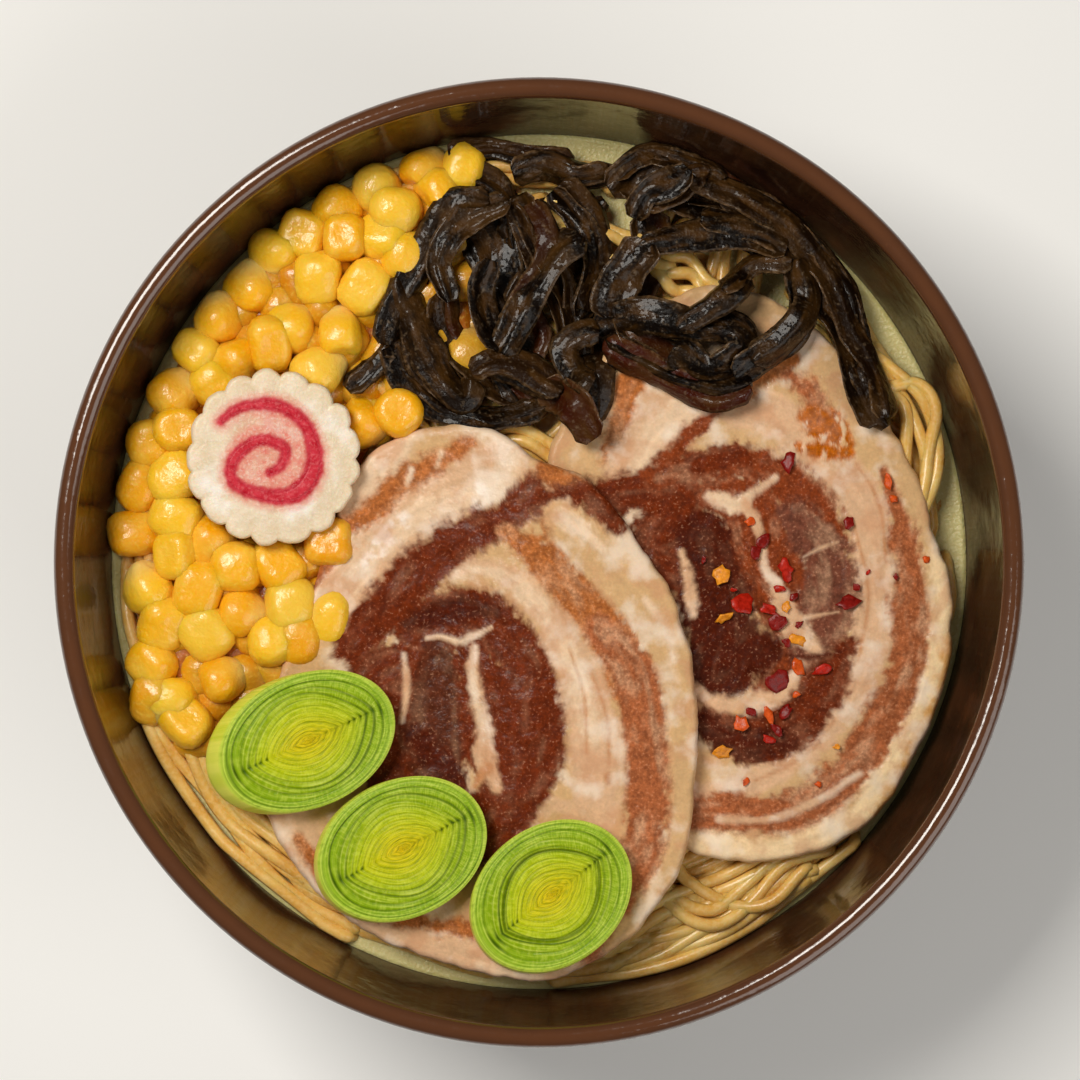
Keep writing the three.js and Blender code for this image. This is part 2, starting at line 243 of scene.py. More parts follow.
# ---- Shaders ------------------------------------------------------------------------------------
class Shader:
    """A Principled material and short ways of adding the nodes that drive it."""

    def __init__(self, name, **constants):
        self.material = bpy.data.materials.new(name)
        self.material.use_nodes = True
        self.tree = self.material.node_tree
        self.bsdf = self.tree.nodes["Principled BSDF"]
        sockets = {socket.name.lower().replace(" ", "_"): socket for socket in self.bsdf.inputs}
        for key, value in constants.items():
            sockets[key].default_value = value
        self.place = self.tree.nodes.new("ShaderNodeTexCoord").outputs["Object"]

    def node(self, kind, output, inputs, **settings):
        made = self.tree.nodes.new(kind)
        for key, value in settings.items():
            setattr(made, key, value)
        for key, value in inputs.items():
            if isinstance(value, bpy.types.NodeSocket):
                self.tree.links.new(value, made.inputs[key])
            else:
                made.inputs[key].default_value = value
        return made.outputs[output]

    def drive(self, socket, source):
        self.tree.links.new(source, self.bsdf.inputs[socket])

    def noise(self, pitch, detail=3.0, vector=None):
        """Noise from 0 to 1, its lumps pitch millimetres, or units of a given vector, across."""
        scale = 1 / (pitch * MM) if vector is None else 1 / pitch
        inputs = {"Vector": vector or self.place, "Scale": scale, "Detail": detail}
        return self.node("ShaderNodeTexNoise", "Fac", inputs)

    def relief(self, normal):
        """The same relief for the flesh and for the wet film on it."""
        self.drive("Normal", normal)
        self.drive("Coat Normal", normal)

    def value(self, name):
        return self.node("ShaderNodeAttribute", "Fac", {}, attribute_name=name)

    def colour(self, name):
        return self.node("ShaderNodeAttribute", "Color", {}, attribute_name=name)

    def vector(self, x, y, z):
        return self.node("ShaderNodeCombineXYZ", "Vector", {"X": x, "Y": y, "Z": z})

    def spread(self, source, low, high, to_low=0.0, to_high=1.0):
        """source from low to high becomes to_low to to_high, and no further."""
        inputs = {
            "Value": source, "From Min": low, "From Max": high,
            "To Min": to_low, "To Max": to_high,
        }
        return self.node("ShaderNodeMapRange", "Result", inputs, clamp=True)

    def maths(self, operation, a, b):
        return self.node("ShaderNodeMath", 0, {0: a, 1: b}, operation=operation)

    def times(self, a, b):
        return self.maths("MULTIPLY", a, b)

    def ramp(self, source, *stops):
        made = self.tree.nodes.new("ShaderNodeValToRGB")
        elements = made.color_ramp.elements
        while len(elements) < len(stops):
            elements.new(0.5)
        for element, (position, colour) in zip(elements, stops):
            element.position = position
            element.color = colour
        self.tree.links.new(source, made.inputs["Fac"])
        return made.outputs["Color"]

    def mix(self, share, a, b, blend="MIX"):
        made = self.tree.nodes.new("ShaderNodeMix")
        made.data_type = "RGBA"
        made.blend_type = blend
        for socket, value in ((made.inputs[0], share), (made.inputs[6], a), (made.inputs[7], b)):
            if isinstance(value, bpy.types.NodeSocket):
                self.tree.links.new(value, socket)
            else:
                socket.default_value = value
        return made.outputs[2]

    def bump(self, height, distance, normal=None):
        """Relief distance millimetres high, on top of that of normal."""
        inputs = {"Height": height, "Distance": distance * MM}
        if normal:
            inputs["Normal"] = normal
        return self.node("ShaderNodeBump", "Normal", inputs)


def translucent(weight, depth, spread=(1.0, 0.45, 0.25)):
    """Settings for light that goes some metres deep, spreading by that much in red, green, blue."""
    return {
        "subsurface_weight": weight, "subsurface_scale": depth, "subsurface_radius": spread,
    }


# ---- Bowl ---------------------------------------------------------------------------------------
RIM_Z, RIM_RADIUS, LIP_RADIUS = 80, 95.5, 2.1
FOOT_RADIUS, FOOT_WIDTH, FOOT_HEIGHT, RECESS_HEIGHT = 38, 5, 7, 5
LIP_Z = RIM_Z - LIP_RADIUS
OUTER_WALL = bezier(
    (FOOT_RADIUS, FOOT_HEIGHT), (70, 11), (89, 38), (RIM_RADIUS, LIP_Z), 40
)
INNER_WALL = bezier((26, 11), (66, 14), (87, 39), (RIM_RADIUS - 2 * LIP_RADIUS, LIP_Z), 40)
BARE_CLAY_Z, BARE_EDGE = 8.5, 0.7  # the glaze stops here, within this much
BOWL_SECTORS = 192


def wall_radius(z):
    return np.interp(z, INNER_WALL[:, 1], INNER_WALL[:, 0])


def glaze_material():
    s = Shader("dark_glaze", coat_weight=0.5, coat_roughness=0.06)
    height = s.node("ShaderNodeSeparateXYZ", "Z", {"Vector": s.place})
    mottle = s.noise(9)
    speck = s.noise(0.9, 2)
    glaze = s.ramp(
        mottle,
        (0.3, srgb(40, 22, 13)), (0.55, srgb(58, 33, 19)), (0.75, srgb(78, 44, 24)),
    )
    glaze = s.mix(s.spread(speck, 0.66, 0.72, 0, 0.6), glaze, srgb(104, 62, 34))
    wobble = s.times(mottle, 2.4 * MM)
    lip = s.spread(s.maths("SUBTRACT", height, wobble), 75.5 * MM, 79 * MM)
    glaze = s.mix(lip, glaze, srgb(92, 54, 30))
    clay = s.ramp(s.noise(1.2), (0.3, srgb(150, 122, 92)), (0.7, srgb(186, 160, 126)))
    bare = s.spread(s.maths("ADD", height, wobble), BARE_CLAY_Z * MM,
                    (BARE_CLAY_Z - BARE_EDGE) * MM)
    s.drive("Base Color", s.mix(bare, glaze, clay))
    s.drive("Roughness", s.maths("MAXIMUM", s.spread(mottle, 0.3, 0.7, 0.1, 0.2), bare))
    s.drive("Normal", s.bump(s.noise(5), 0.25))
    return s.material


def build_bowl():
    angle = np.linspace(0, math.pi, 17)[1:-1]
    lip = np.stack(
        [RIM_RADIUS - LIP_RADIUS + LIP_RADIUS * np.cos(angle), LIP_Z + LIP_RADIUS * np.sin(angle)],
        axis=1,
    )
    foot = [
        (0, RECESS_HEIGHT), (20, RECESS_HEIGHT), (FOOT_RADIUS - FOOT_WIDTH - 1, RECESS_HEIGHT),
        (FOOT_RADIUS - FOOT_WIDTH, RECESS_HEIGHT - 1), (FOOT_RADIUS - FOOT_WIDTH, 0.6),
        (FOOT_RADIUS - FOOT_WIDTH + 0.2, 0.2), (FOOT_RADIUS - FOOT_WIDTH + 0.6, 0),
        (FOOT_RADIUS - 0.6, 0), (FOOT_RADIUS - 0.2, 0.2), (FOOT_RADIUS, 0.6),
        (FOOT_RADIUS, FOOT_HEIGHT - 0.6), (FOOT_RADIUS + 0.2, FOOT_HEIGHT - 0.2),
    ]
    floor = [(18, 10.9), (0, 10.8)]
    profile = [*foot, *OUTER_WALL[1:], *lip, *INNER_WALL[::-1], *floor]
    bowl = Skin()
    bowl.add(*lathe(profile[::-1], BOWL_SECTORS))
    bowl.piece("bowl_glazed", glaze_material(), ["bowl"])


# ---- Soup ---------------------------------------------------------------------------------------
SOUP_Z = 55
WALL_OVERLAP = 0.2  # how far the soup reaches into the wall, so that no gap shows
MENISCUS = 0.7


def soup_material():
    s = Shader("broth", **translucent(0.15, 0.002))
    cloud = s.noise(14)
    grain = s.noise(0.7, 4)
    broth = s.ramp(cloud, (0.3, srgb(190, 176, 110)), (0.7, srgb(206, 194, 132)))
    broth = s.mix(s.spread(grain, 0.5, 0.75, 0, 0.45), broth, srgb(226, 218, 168))
    s.drive("Base Color", broth)
    s.drive("Roughness", s.spread(cloud, 0.3, 0.7, 0.25, 0.5))
    s.drive("Normal", s.bump(s.mix(0.5, cloud, grain), 0.5))
    return s.material


def build_soup():
    wetted = [(r + WALL_OVERLAP, z) for r, z in INNER_WALL[::-1] if z < SOUP_Z]
    edge = wall_radius(SOUP_Z) + WALL_OVERLAP
    surface = [
        (edge * share, SOUP_Z + MENISCUS * math.exp(-(1 - share) * 60))
        for share in np.linspace(0.02, 1, 90)
    ]
    rings, start, end = lathe([(0, SOUP_Z), *surface, *wetted, (0, 11.2)], 240)
    lid = rings[: len(surface)]
    calm = smooth(np.hypot(lid[..., 0], lid[..., 1]), 85, 81)
    lid[..., 2] += 0.25 * calm * noise(lid[..., 0], lid[..., 1], 16, 3)
    soup = Skin()
    soup.add(rings, start, end)
    soup.piece("soup_surface", soup_material(), ["soup"])


# ---- Noodles ------------------------------------------------------------------------------------
NEST_OUTLINE = [
    (80.5, 20), (74, 34), (64, 47), (50, 60), (30, 72), (8, 79), (-20, 79), (-48, 66), (-68, 45),
    (-80, 18), (-82, -10), (-74, -36), (-57, -60), (-32, -76), (0, -82.5), (34, -75.5),
    (58, -58), (74, -34), (80.5, -8),
]
NEST_REACH = 79
NOODLE_RADIUS, NOODLE_PITCH = 1.35, 2.6
LOOSE_BUNCHES = 46
NEST_UNDERSIDE = [(1, 52), (0.8, 40), (0.4, 26)]  # share of the outline, and height
# Bunches that show: height, number of strands and route.
SHOWN_BUNCHES = [
    (56.4, 4, [(2, -82), (20, -79), (36, -73), (50, -64), (62, -53)]),
    (57.6, 3, [(12, -79), (24, -72.5), (36, -66), (47, -61), (56, -60)]),
    (58.6, 2, [(20, -62), (27, -68), (35, -71), (43, -67), (50, -60), (58, -56)]),
    (59.0, 1, [(27, -57), (29, -64), (36, -68.5), (46, -68), (55, -62)]),
    (57.2, 2, [(8, -80.5), (24, -78), (40, -70), (54, -62)]),
    (60.0, 3, [(62, 41), (69, 38), (74.5, 33), (76.5, 25), (77, 17), (75, 9)]),
    (61.6, 1, [(64, 37), (70, 35.5), (76, 35), (79, 31), (79.5, 25), (78.5, 18), (76, 12)]),
    (57.0, 4, [(-79, -24), (-73, -38), (-62, -52), (-50, -64), (-36, -74)]),
    (57.6, 2, [(-74, -30), (-66, -45), (-54, -58), (-44, -66)]),
    (59.6, 3, [(-8, 24), (-1, 23), (6, 20), (13, 14)]),
    (60.0, 2, [(-34, 34), (-29, 31), (-25, 26), (-22, 20)]),
    (60.2, 3, [(1, 70), (8, 67.5), (14, 65), (20, 62), (27, 60)]),
    (60.5, 3, [(24, 60), (31, 56.5), (36, 52)]),
    (60.5, 2, [(50, 50), (55, 44), (60, 38), (66, 32)]),
]


def noodle_material():
    s = Shader("wheat_noodle", coat_weight=0.25, coat_roughness=0.15, **translucent(0.25, 0.0015))
    blotch = s.noise(7)
    fine = s.noise(0.8)
    dough = s.ramp(
        blotch,
        (0.3, srgb(214, 158, 66)), (0.5, srgb(226, 178, 86)), (0.7, srgb(236, 198, 112)),
    )
    # Painted shade: the core and the strands lower in the heap darken by their depth value towards
    # a deep brown.
    shade = s.mix(s.value("depth"), dough, srgb(170, 118, 48))
    s.drive("Base Color", s.mix(s.spread(fine, 0.4, 0.7, 0, 0.3), shade, srgb(244, 222, 170)))
    s.drive("Roughness", s.spread(blotch, 0.3, 0.7, 0.25, 0.42))
    s.drive("Normal", s.bump(fine, 0.08))
    return s.material


def inside_wall(path, margin):
    """The path with any stop that would cut the bowl's wall moved in."""
    radius = np.hypot(path[:, 0], path[:, 1])
    most = wall_radius(path[:, 2]) - margin
    path[:, :2] *= np.minimum(1, most / np.maximum(radius, 1))[:, None]
    return path


def build_noodle_core(material):
    edge = smooth_line(NEST_OUTLINE, 120, closed=True)
    shares = np.linspace(0.03, 1, 40)
    top = np.empty((40, 120, 3))
    top[..., :2] = edge * shares[:, None, None]
    ridge = np.abs(noise(top[..., 0], top[..., 1], 5, 21))
    top[..., 2] = 55.6 - 1.6 * shares[:, None] ** 4 + 1.6 * ridge
    side = np.empty((len(NEST_UNDERSIDE), 120, 3))
    for row, (share, z) in enumerate(NEST_UNDERSIDE):
        side[row, :, :2] = edge * share
        side[row, :, 2] = z
    core = Skin()
    # The core under the strands gets strong painted shade (depth 0.7).
    core.add(np.concatenate([top, side]), (0, 0, top[0, :, 2].mean()), (0, 0, 24), depth=0.7)
    core.piece("noodle_core", material)


def add_bunch(strands, rng, height, count, route, steps, depth):
    """Strands side by side along a route, each waving a little of its own."""
    line = smooth_line([(x, y, 0) for x, y in route], steps)
    along = directions(line[:, :2])
    run = np.linspace(0, 1, steps)
    for k in range(count):
        phase = rng.uniform(0, 2 * math.pi, 2)
        offset = NOODLE_PITCH * (k - (count - 1) / 2) + 0.9 * np.sin(run * 9 + phase[0])
        path = line.copy()
        path[:, 0] -= along[:, 1] * offset
        path[:, 1] += along[:, 0] * offset
        path[:, 2] = height + rng.uniform(-0.5, 0.5) + 0.5 * np.sin(run * 12 + phase[1])
        path[[0, -1], 2] -= 2
        # depth sets how much painted shade the strands get.
        strands.add(sweep(inside_wall(path, 1.6), circle(NOODLE_RADIUS, 8)), depth=depth)


def loose_route(rng):
    """Stops of a bunch that wanders round the nest, turning along the wall where it meets it."""
    bearing = rng.uniform(0, 2 * math.pi)
    radius = 80 * math.sqrt(rng.uniform(0.02, 1))
    place = np.array([radius * math.cos(bearing), radius * math.sin(bearing)])
    heading = bearing + math.pi / 2 + rng.normal(0, 0.5)
    bend = rng.normal(0, 0.25)
    route = [place]
    for _ in range(6):
        heading += bend + rng.normal(0, 0.25)
        place = place + 12 * np.array([math.cos(heading), math.sin(heading)])
        reach = np.hypot(*place)
        if reach > NEST_REACH:
            place = place * NEST_REACH / reach
            heading = math.atan2(place[1], place[0]) + math.pi / 2
        route.append(place)
    return route


def build_noodles():
    rng = np.random.default_rng(11)
    material = noodle_material()
    build_noodle_core(material)
    strands = Skin()
    # The bunches that show get no painted shade; the loose bunches lower in the heap get a little
    # (depth 0.25).
    for height, count, route in SHOWN_BUNCHES:
        add_bunch(strands, rng, height, count, route, 12 * len(route), 0.0)
    for _ in range(LOOSE_BUNCHES):
        route = loose_route(rng)
        height, count = rng.uniform(55.2, 57.2), int(rng.integers(2, 5))
        add_bunch(strands, rng, height, count, route, 60, 0.25)
    strands.piece("noodle_strands", material, ["noodles"])


# ---- Pork slices --------------------------------------------------------------------------------
# Outlines, the points they are drawn round, and strokes of fat and lean. A stroke is a list of
# (x, y, half width).
FRONT_CENTRE, BACK_CENTRE = (-11, -28), (43, -3)
FRONT_OUTLINE = [
    (21, 3), (10, 16.5), (-1, 21.5), (-8, 26.5), (-22, 27.5), (-35, 21.5), (-41.5, 8), (-47, -8),
    (-53, -24), (-57.5, -40), (-54, -54), (-43.5, -68), (-30, -77), (-12, -82.5), (3, -83.6),
    (18, -75.5), (28.5, -61.5), (31.6, -43.5), (31.6, -25.5), (28, -8),
]
BACK_OUTLINE = [
    (83.4, -7.5), (80.2, 5), (75, 20.5), (66.5, 34.5), (57, 46), (44, 54.5), (30, 55), (17, 47),
    (8, 35), (1.5, 22.5), (2, 8), (5, -12), (9, -34), (18, -51), (30, -58.5), (43, -60.6),
    (58, -57.6), (68.5, -51), (76, -39), (82, -23),
]
FRONT_STROKES = [
    ("pale_fat", [(-29, 27.5, 5), (-33.5, 18.5, 5.6), (-37.5, 8.5, 4.4)]),
    ("pink_lean", [(-46, -7.5, 2), (-43.5, -2, 2.4), (-40, 4.5, 2)]),
    ("fat", [(-42, -10, 5.2), (-35, -2, 5.6), (-26, 7.5, 6), (-16, 14.5, 6), (-6, 20, 4.8)]),
    # Painted highlight: this pale stroke runs along the middle of the broad fat, where it shines.
    ("pale_fat", [(-39, -4.5, 2.4), (-32, 3.5, 2.8), (-22, 10.5, 2), (-10, 14.5, 2.8),
                  (-5, 20.5, 2)]),
    # Painted highlights: white patches of wet sheen on the broad fat, broken into specks.
    ("frosted_fat", [(-34.5, -0.5, 0.8), (-31.5, 4, 2), (-27, 8.5, 1.2)]),
    ("frosted_fat", [(-12, 15.5, 0.8), (-11, 12.8, 1.5), (-13, 10.5, 0.6)]),
    ("brown_lean", [(-43.5, 0.5, 2.4), (-37.5, 7.5, 2.4), (-31.5, 11.8, 2.2), (-28.8, 15, 2.5),
                    (-23, 18.8, 2.4), (-18.3, 21.4, 1.9), (-14, 24.2, 1.7)]),
    ("pale_fat", [(-26.5, 15.5, 0.3), (-25.5, 18.5, 0.5)]),
    ("pale_fat", [(-20.5, 19, 0.3), (-19.5, 22, 0.5)]),
    ("brown_lean", [(1, 17.5, 2.8), (8, 12.5, 3.6), (4, 8.5, 3.2)]),
    ("dark_lean", [(-37.5, -17.5, 4), (-29.5, -7.5, 4.8), (-22, 0, 4.8), (-14, 5.5, 4.4),
                   (-7, 8.5, 3.6), (-1, 14.5, 2.8)]),
    ("dark_lean", [(0, 11.5, 2.8), (8, 13, 2.8), (14.5, 10, 5.2)]),
    ("dark_lean", [(-24, -13.5, 6), (-14, -11.5, 6.8), (-4, -17.5, 5.2), (-1, -29.5, 6.8),
                   (-3, -41.5, 7.2), (-14, -53.5, 6.8), (-28, -39.5, 8.8), (-31, -25.5, 8),
                   (-24, -23.5, 8), (-18, -33.5, 8)]),
    ("grey_lean", [(-20, -19.5, 4), (-21, -31.5, 5.2), (-20, -41.5, 4.8)]),
    ("deep_lean", [(-25, -34, 1.5), (-21.5, -38, 3), (-16, -44, 2)]),
    ("dark_lean", [(-14, -17, 4), (-10, -26, 5.5), (-10, -38, 5)]),
    ("deep_lean", [(-27, -12.5, 1), (-18, -9.5, 2.6), (-9, -9.5, 1.5)]),
    ("brown_lean", [(-6.6, 6, 2), (-1, 2, 3.2), (4, -3, 4.4), (9.4, -9.2, 4.8), (15, -17, 4.8),
                    (18.5, -25.5, 4.6)]),
    ("pink_lean", [(12, -13.5, 3.2), (18.5, -21.5, 4.4), (21, -33.5, 5), (22, -45.5, 5.2),
                   (21, -57.5, 4.8), (16, -67.5, 4.4), (10, -77.5, 3.2)]),
    ("fat", [(-17, -2.5, 0.6), (-12, -0.5, 1.4), (-7, -2, 2), (-1, -7.5, 2.8), (4.5, -15, 3.6),
             (8.5, -23.5, 4.4), (11, -33.5, 5.2), (11.5, -44.5, 5.2), (10, -54.5, 4.8)]),
    ("pale_fat", [(-14, -1.2, 0.5), (-7, -2.8, 1.2), (-1, -8, 1.8), (4, -15.5, 2.2),
                  (8, -24, 2.4), (10.5, -34, 2.2)]),
    ("outer_fat", [(4, 9.5, 2.8), (10, 3.5, 4.4), (18, -4.5, 4.8), (25, -12.5, 4.4),
                   (29, -23.5, 3.6), (30, -35.5, 3.6), (30, -47.5, 3.6), (29, -57.5, 3.6),
                   (25, -67.5, 4), (18, -77.5, 4.4)]),
    # Painted highlight on the outer fat.
    ("pale_fat", [(4.5, 9, 1.8), (8, 6.5, 2), (12.5, 2.5, 1)]),
    ("pale_fat", [(21, -7.5, 0.6), (25, -13, 1.2), (27, -20, 0.6)]),
    ("vein", [(6, -17, 0.1), (9, -27, 0.25), (9.5, -38, 0.2)]),
    ("vein", [(10, -21, 0.1), (13.5, -31, 0.3), (14, -40, 0.2)]),
    ("vein", [(13.6, -42.5, 0.6), (13.9, -44, 0.6)]),
    ("pale_fat", [(-22.5, -15.2, 0.2), (-19, -15, 0.4), (-16, -16, 0.8), (-13, -14.8, 0.7),
                  (-9.5, -13, 0.2)]),
    ("fat", [(-12.8, -17, 0.8), (-13.1, -22, 1.2), (-12.5, -27.5, 1.1), (-11.4, -31, 1.2),
             (-10.8, -35, 1.7), (-10.5, -40, 2), (-8.5, -45, 0.9)]),
    ("pale_fat", [(-13, -18, 0.4), (-13.2, -24, 0.6), (-12, -30, 0.6), (-11.2, -36, 0.7)]),
    ("vein", [(-10, -41, 1.2), (-13, -45, 0.8)]),
    ("fat", [(-27, -18.5, 0.4), (-26.5, -25.5, 0.6), (-27.5, -32, 0.4)]),
    ("fat", [(1, -50, 1), (4, -48.5, 1.6), (10, -53.5, 2.8)]),
    ("fat", [(-52, -38, 4), (-50, -50, 4), (-42, -65.5, 4.4), (-28, -76, 5.2), (-12, -80, 4.8),
             (4, -81, 4)]),
    ("brown_lean", [(-48, -56, 1.2), (-42, -64, 1.6), (-32, -70, 1.8), (-22, -72.5, 1.6),
                    (-13, -73.5, 2)]),
    ("pale_fat", [(-12, -81.5, 1.2), (0, -82.5, 1.2)]),
]
BACK_STROKES = [
    ("pale_fat", [(12, 34.5, 2.8), (13, 28.5, 2)]),
    ("brown_lean", [(18.5, 35.5, 3.2), (16.5, 28.5, 2.8), (14, 21.5, 2.4)]),
    ("fat", [(32, 32.5, 5.6), (25, 26.5, 6), (18, 18.5, 5.2)]),
    ("pale_fat", [(30, 31.5, 2.4), (23, 24.5, 2.8), (20, 17.5, 1.6)]),
    ("dark_lean", [(12, 12.5, 4.8), (20, 14, 4), (28, 12.5, 5.6), (23, 3.5, 6), (30, -3.5, 5.2)]),
    ("red_lean", [(36, 14, 4), (42, 11, 6), (44, 3, 7.5), (49, -6, 7.5), (53, -16, 7),
                  (49, -25, 6)]),
    ("fat", [(40, 31.5, 5.2), (50, 27.5, 4.4), (58, 19.5, 4.8), (66, 8.5, 4.8), (67, -5.5, 4.8),
             (66, -17.5, 4.4), (61, -28.5, 3.6), (52, -38, 3.2), (42, -45, 2.8), (32, -47, 2)]),
    ("brown_lean", [(39, 32.5, 1.2), (43, 35.5, 1.8), (46.5, 38, 2.4), (51, 40.5, 1.8)]),
    ("pink_lean", [(50, 37.5, 1.4), (53.5, 34.5, 2.6), (57, 30, 2.8)]),
    ("red_lean", [(37.5, 32, 0.6), (35.5, 30, 0.9), (32.5, 27, 1.6), (29, 23.5, 2.2),
                  (25, 20, 2.4)]),
    ("red_lean", [(24, 17, 2.8), (32, 19, 3.6), (41, 20, 4), (49, 16.5, 4), (55, 10.5, 4.4),
                  (58, 4.5, 4.4)]),
    ("dark_lean", [(32, 19.5, 2.4), (41, 21.5, 2.4)]),
    ("veiled_lean", [(52, 8.5, 4), (57.5, 0.5, 5.4), (57.5, -9.5, 6), (54, -17.5, 4.6)]),
    # Partly painted shadow: this darkest lean lies beside the front slice's right edge, where that
    # edge casts its shadow on the back slice.
    ("deep_lean", [(33, 4.5, 6), (35, -5.5, 7.2), (36.5, -15.5, 7.6), (35, -23.5, 5.6),
                   (44, -17.5, 4.8)]),
    ("dark_lean", [(33, -31.5, 3.6), (41, -35, 4.8), (50, -33, 5.6), (57, -25.5, 4.4),
                   (61, -17.5, 2.8)]),
    ("deep_lean", [(32, -32.5, 2.8), (41, -36.5, 2.8), (49, -35.5, 2.4)]),
    ("pale_fat", [(34.5, 13, 1), (40, 11.5, 1.8), (42.5, 13.5, 1), (47.5, 17, 0.5)]),
    ("fat", [(41.6, 11, 1.2), (44, 6.4, 0.8), (45.2, -0.8, 0.7), (47.5, -4.5, 1), (49.5, -9, 2),
             (51.5, -14, 2.4), (56, -17.5, 1)]),
    ("fat", [(53, 1, 0.05), (56.5, 2.8, 0.25), (60, 4, 0.05)]),
    ("fat", [(50, -12, 0.3), (55, -10.8, 0.35), (60, -10, 0.05)]),
    ("fat", [(28.5, 2, 0.6), (30, -3.5, 1.2), (31, -10.5, 0.8)]),
    ("fat", [(31.5, -25.5, 1), (36.5, -28.3, 1.5), (43.5, -28.3, 1.5), (49, -26, 1.3),
             (52.5, -20.5, 0.8)]),
    ("pink_lean", [(69, 18.5, 0.8), (72.5, 8.5, 2.4), (74.5, -5.5, 3.6), (74, -19.5, 4),
                   (70, -31.5, 4.8), (62, -42.5, 4.8), (52, -50, 4.4), (40, -50.5, 4),
                   (31, -50.5, 3.6)]),
    ("fat", [(64, -42.5, 0.6), (56, -47.5, 0.8), (46, -51.5, 0.6), (36, -51.5, 0.6)]),
    ("cream_fat", [(80, 0.5, 2.8), (82, -11.5, 2.8), (79.5, -25.5, 2.8), (72, -40.5, 3.2),
                   (63, -52, 3.2), (52, -57, 2.4), (40, -58, 2.4), (32, -57, 2.4)]),
    ("rind", [(84.5, -1.5, 0.9), (84, -15.5, 2.1), (81, -27.5, 2.2), (74.5, -40.5, 2.2),
              (68, -50.5, 1.6)]),
    ("vein", [(62, 22, 0.1), (68, 12, 0.3), (69.5, 0, 0.2)]),
    ("vein", [(63, 8, 0.1), (66, -6, 0.25), (64, -20, 0.2)]),
    ("vein", [(60, -31, 0.1), (52, -39.5, 0.25), (43, -44, 0.1)]),
    ("deep_lean", [(48, -18.5, 0.2), (55, -19, 0.4), (60.5, -18, 0.4)]),
    ("spice", [(55, 29, 2.6), (58.5, 26.5, 4), (59.5, 24, 3.6)]),
    ("spice", [(51.5, 23, 0.8), (56, 22, 1.6), (62, 22, 1.2)]),
]
TISSUES = {
    "outer_fat": srgb(208, 168, 120),
    "fat": srgb(214, 173, 136),
    # Pale fat, and also the colour of painted highlights along the middle of some fat bands.
    "pale_fat": srgb(226, 194, 160),
    "frosted_fat": srgb(246, 228, 212),
    # Colour of the painted highlights of wet sheen on the fat.
    "cream_fat": srgb(244, 212, 166),
    "rind": srgb(216, 160, 92),
    "vein": srgb(190, 132, 88),
    "brown_lean": srgb(172, 100, 48),
    "pink_lean": srgb(160, 90, 52),
    "red_lean": srgb(126, 54, 20),
    "dark_lean": srgb(104, 38, 8),
    "deep_lean": srgb(76, 22, 2),
    "grey_lean": srgb(86, 38, 18),
    "veiled_lean": srgb(112, 62, 44),
    "spice": srgb(176, 90, 0),
}
FATNESS = {"spice": 0.15}  # share of fat, where a tissue's name doesn't say it
SPECKLED = {"spice": (-0.5, -0.1), "frosted_fat": (-0.5, 0.3)}  # noise at which specks begin
# Greatest share of fat threads in the lean.
MARBLING = {
    "pink_lean": 0.48, "brown_lean": 0.4, "red_lean": 0.3, "dark_lean": 0.12, "grey_lean": 0.15,
    "deep_lean": 0.06, "veiled_lean": 0.32,
}
SLICE_BASE_Z, SLICE_THICKNESS = 58.8, 4.5
SLICE_STEP = 5.0  # how much a slice lifts what lies on it
SLICE_ROUNDING = 1.5
SLICE_SECTORS, SLICE_ROWS = 480, 100
# Share of the outline, and depth below the face.
SLICE_UNDERSIDE = [(1.0, 2.6), (0.995, 3.8), (0.98, 4.5), (0.7, 4.6), (0.35, 4.6)]


def drape(x):
    """Rise of the front slice, which climbs on to the back one at its right."""
    return SLICE_STEP * smooth(x, -24, 0.5)


def paint(x, y, strokes, seed):
    """Colour of the cut face and its share of fat, laid down stroke by stroke."""
    colour = np.ones((*x.shape, 4)) * TISSUES["outer_fat"]
    fat = np.ones(x.shape)
    wobble = 1.1 * noise(x, y, 4, seed) + 1.2 * noise(x, y, 1.2, seed + 1)
    for number, (tissue, stops) in enumerate(strokes):
        line = smooth_line(stops, 8 * len(stops))
        offset, inside, along = distance_to(line, x, y)
        # Fibres run along the stroke, so its edge frays and its colour streaks that way.
        fibres = noise(along, offset * 9, 8, seed + number)
        rough = np.clip((inside + np.abs(offset)) / 2.5, 0.1, 1)  # thin stretches fray less
        soft = 0.4 + 0.75 * rough
        share = smooth(inside + rough * (wobble + 0.5 * fibres), -soft, soft)
        if tissue in SPECKLED:
            share *= smooth(noise(x, y, 1.3, seed + number), *SPECKLED[tissue])
        shade = np.array(TISSUES[tissue]) * (1 + 0.13 * fibres[..., None])
        threads = smooth(noise(along, offset * 3, 6, seed + 50 + number, 4), -0.15, 0.8)
        marbled = MARBLING.get(tissue, 0) * threads[..., None]
        shade += (np.array(TISSUES["fat"]) - shade) * marbled
        colour += (shade - colour) * share[..., None]
        fat += (FATNESS.get(tissue, float("lean" not in tissue)) - fat) * share
    colour[..., 3] = 1
    return np.clip(colour, 0, 1), fat


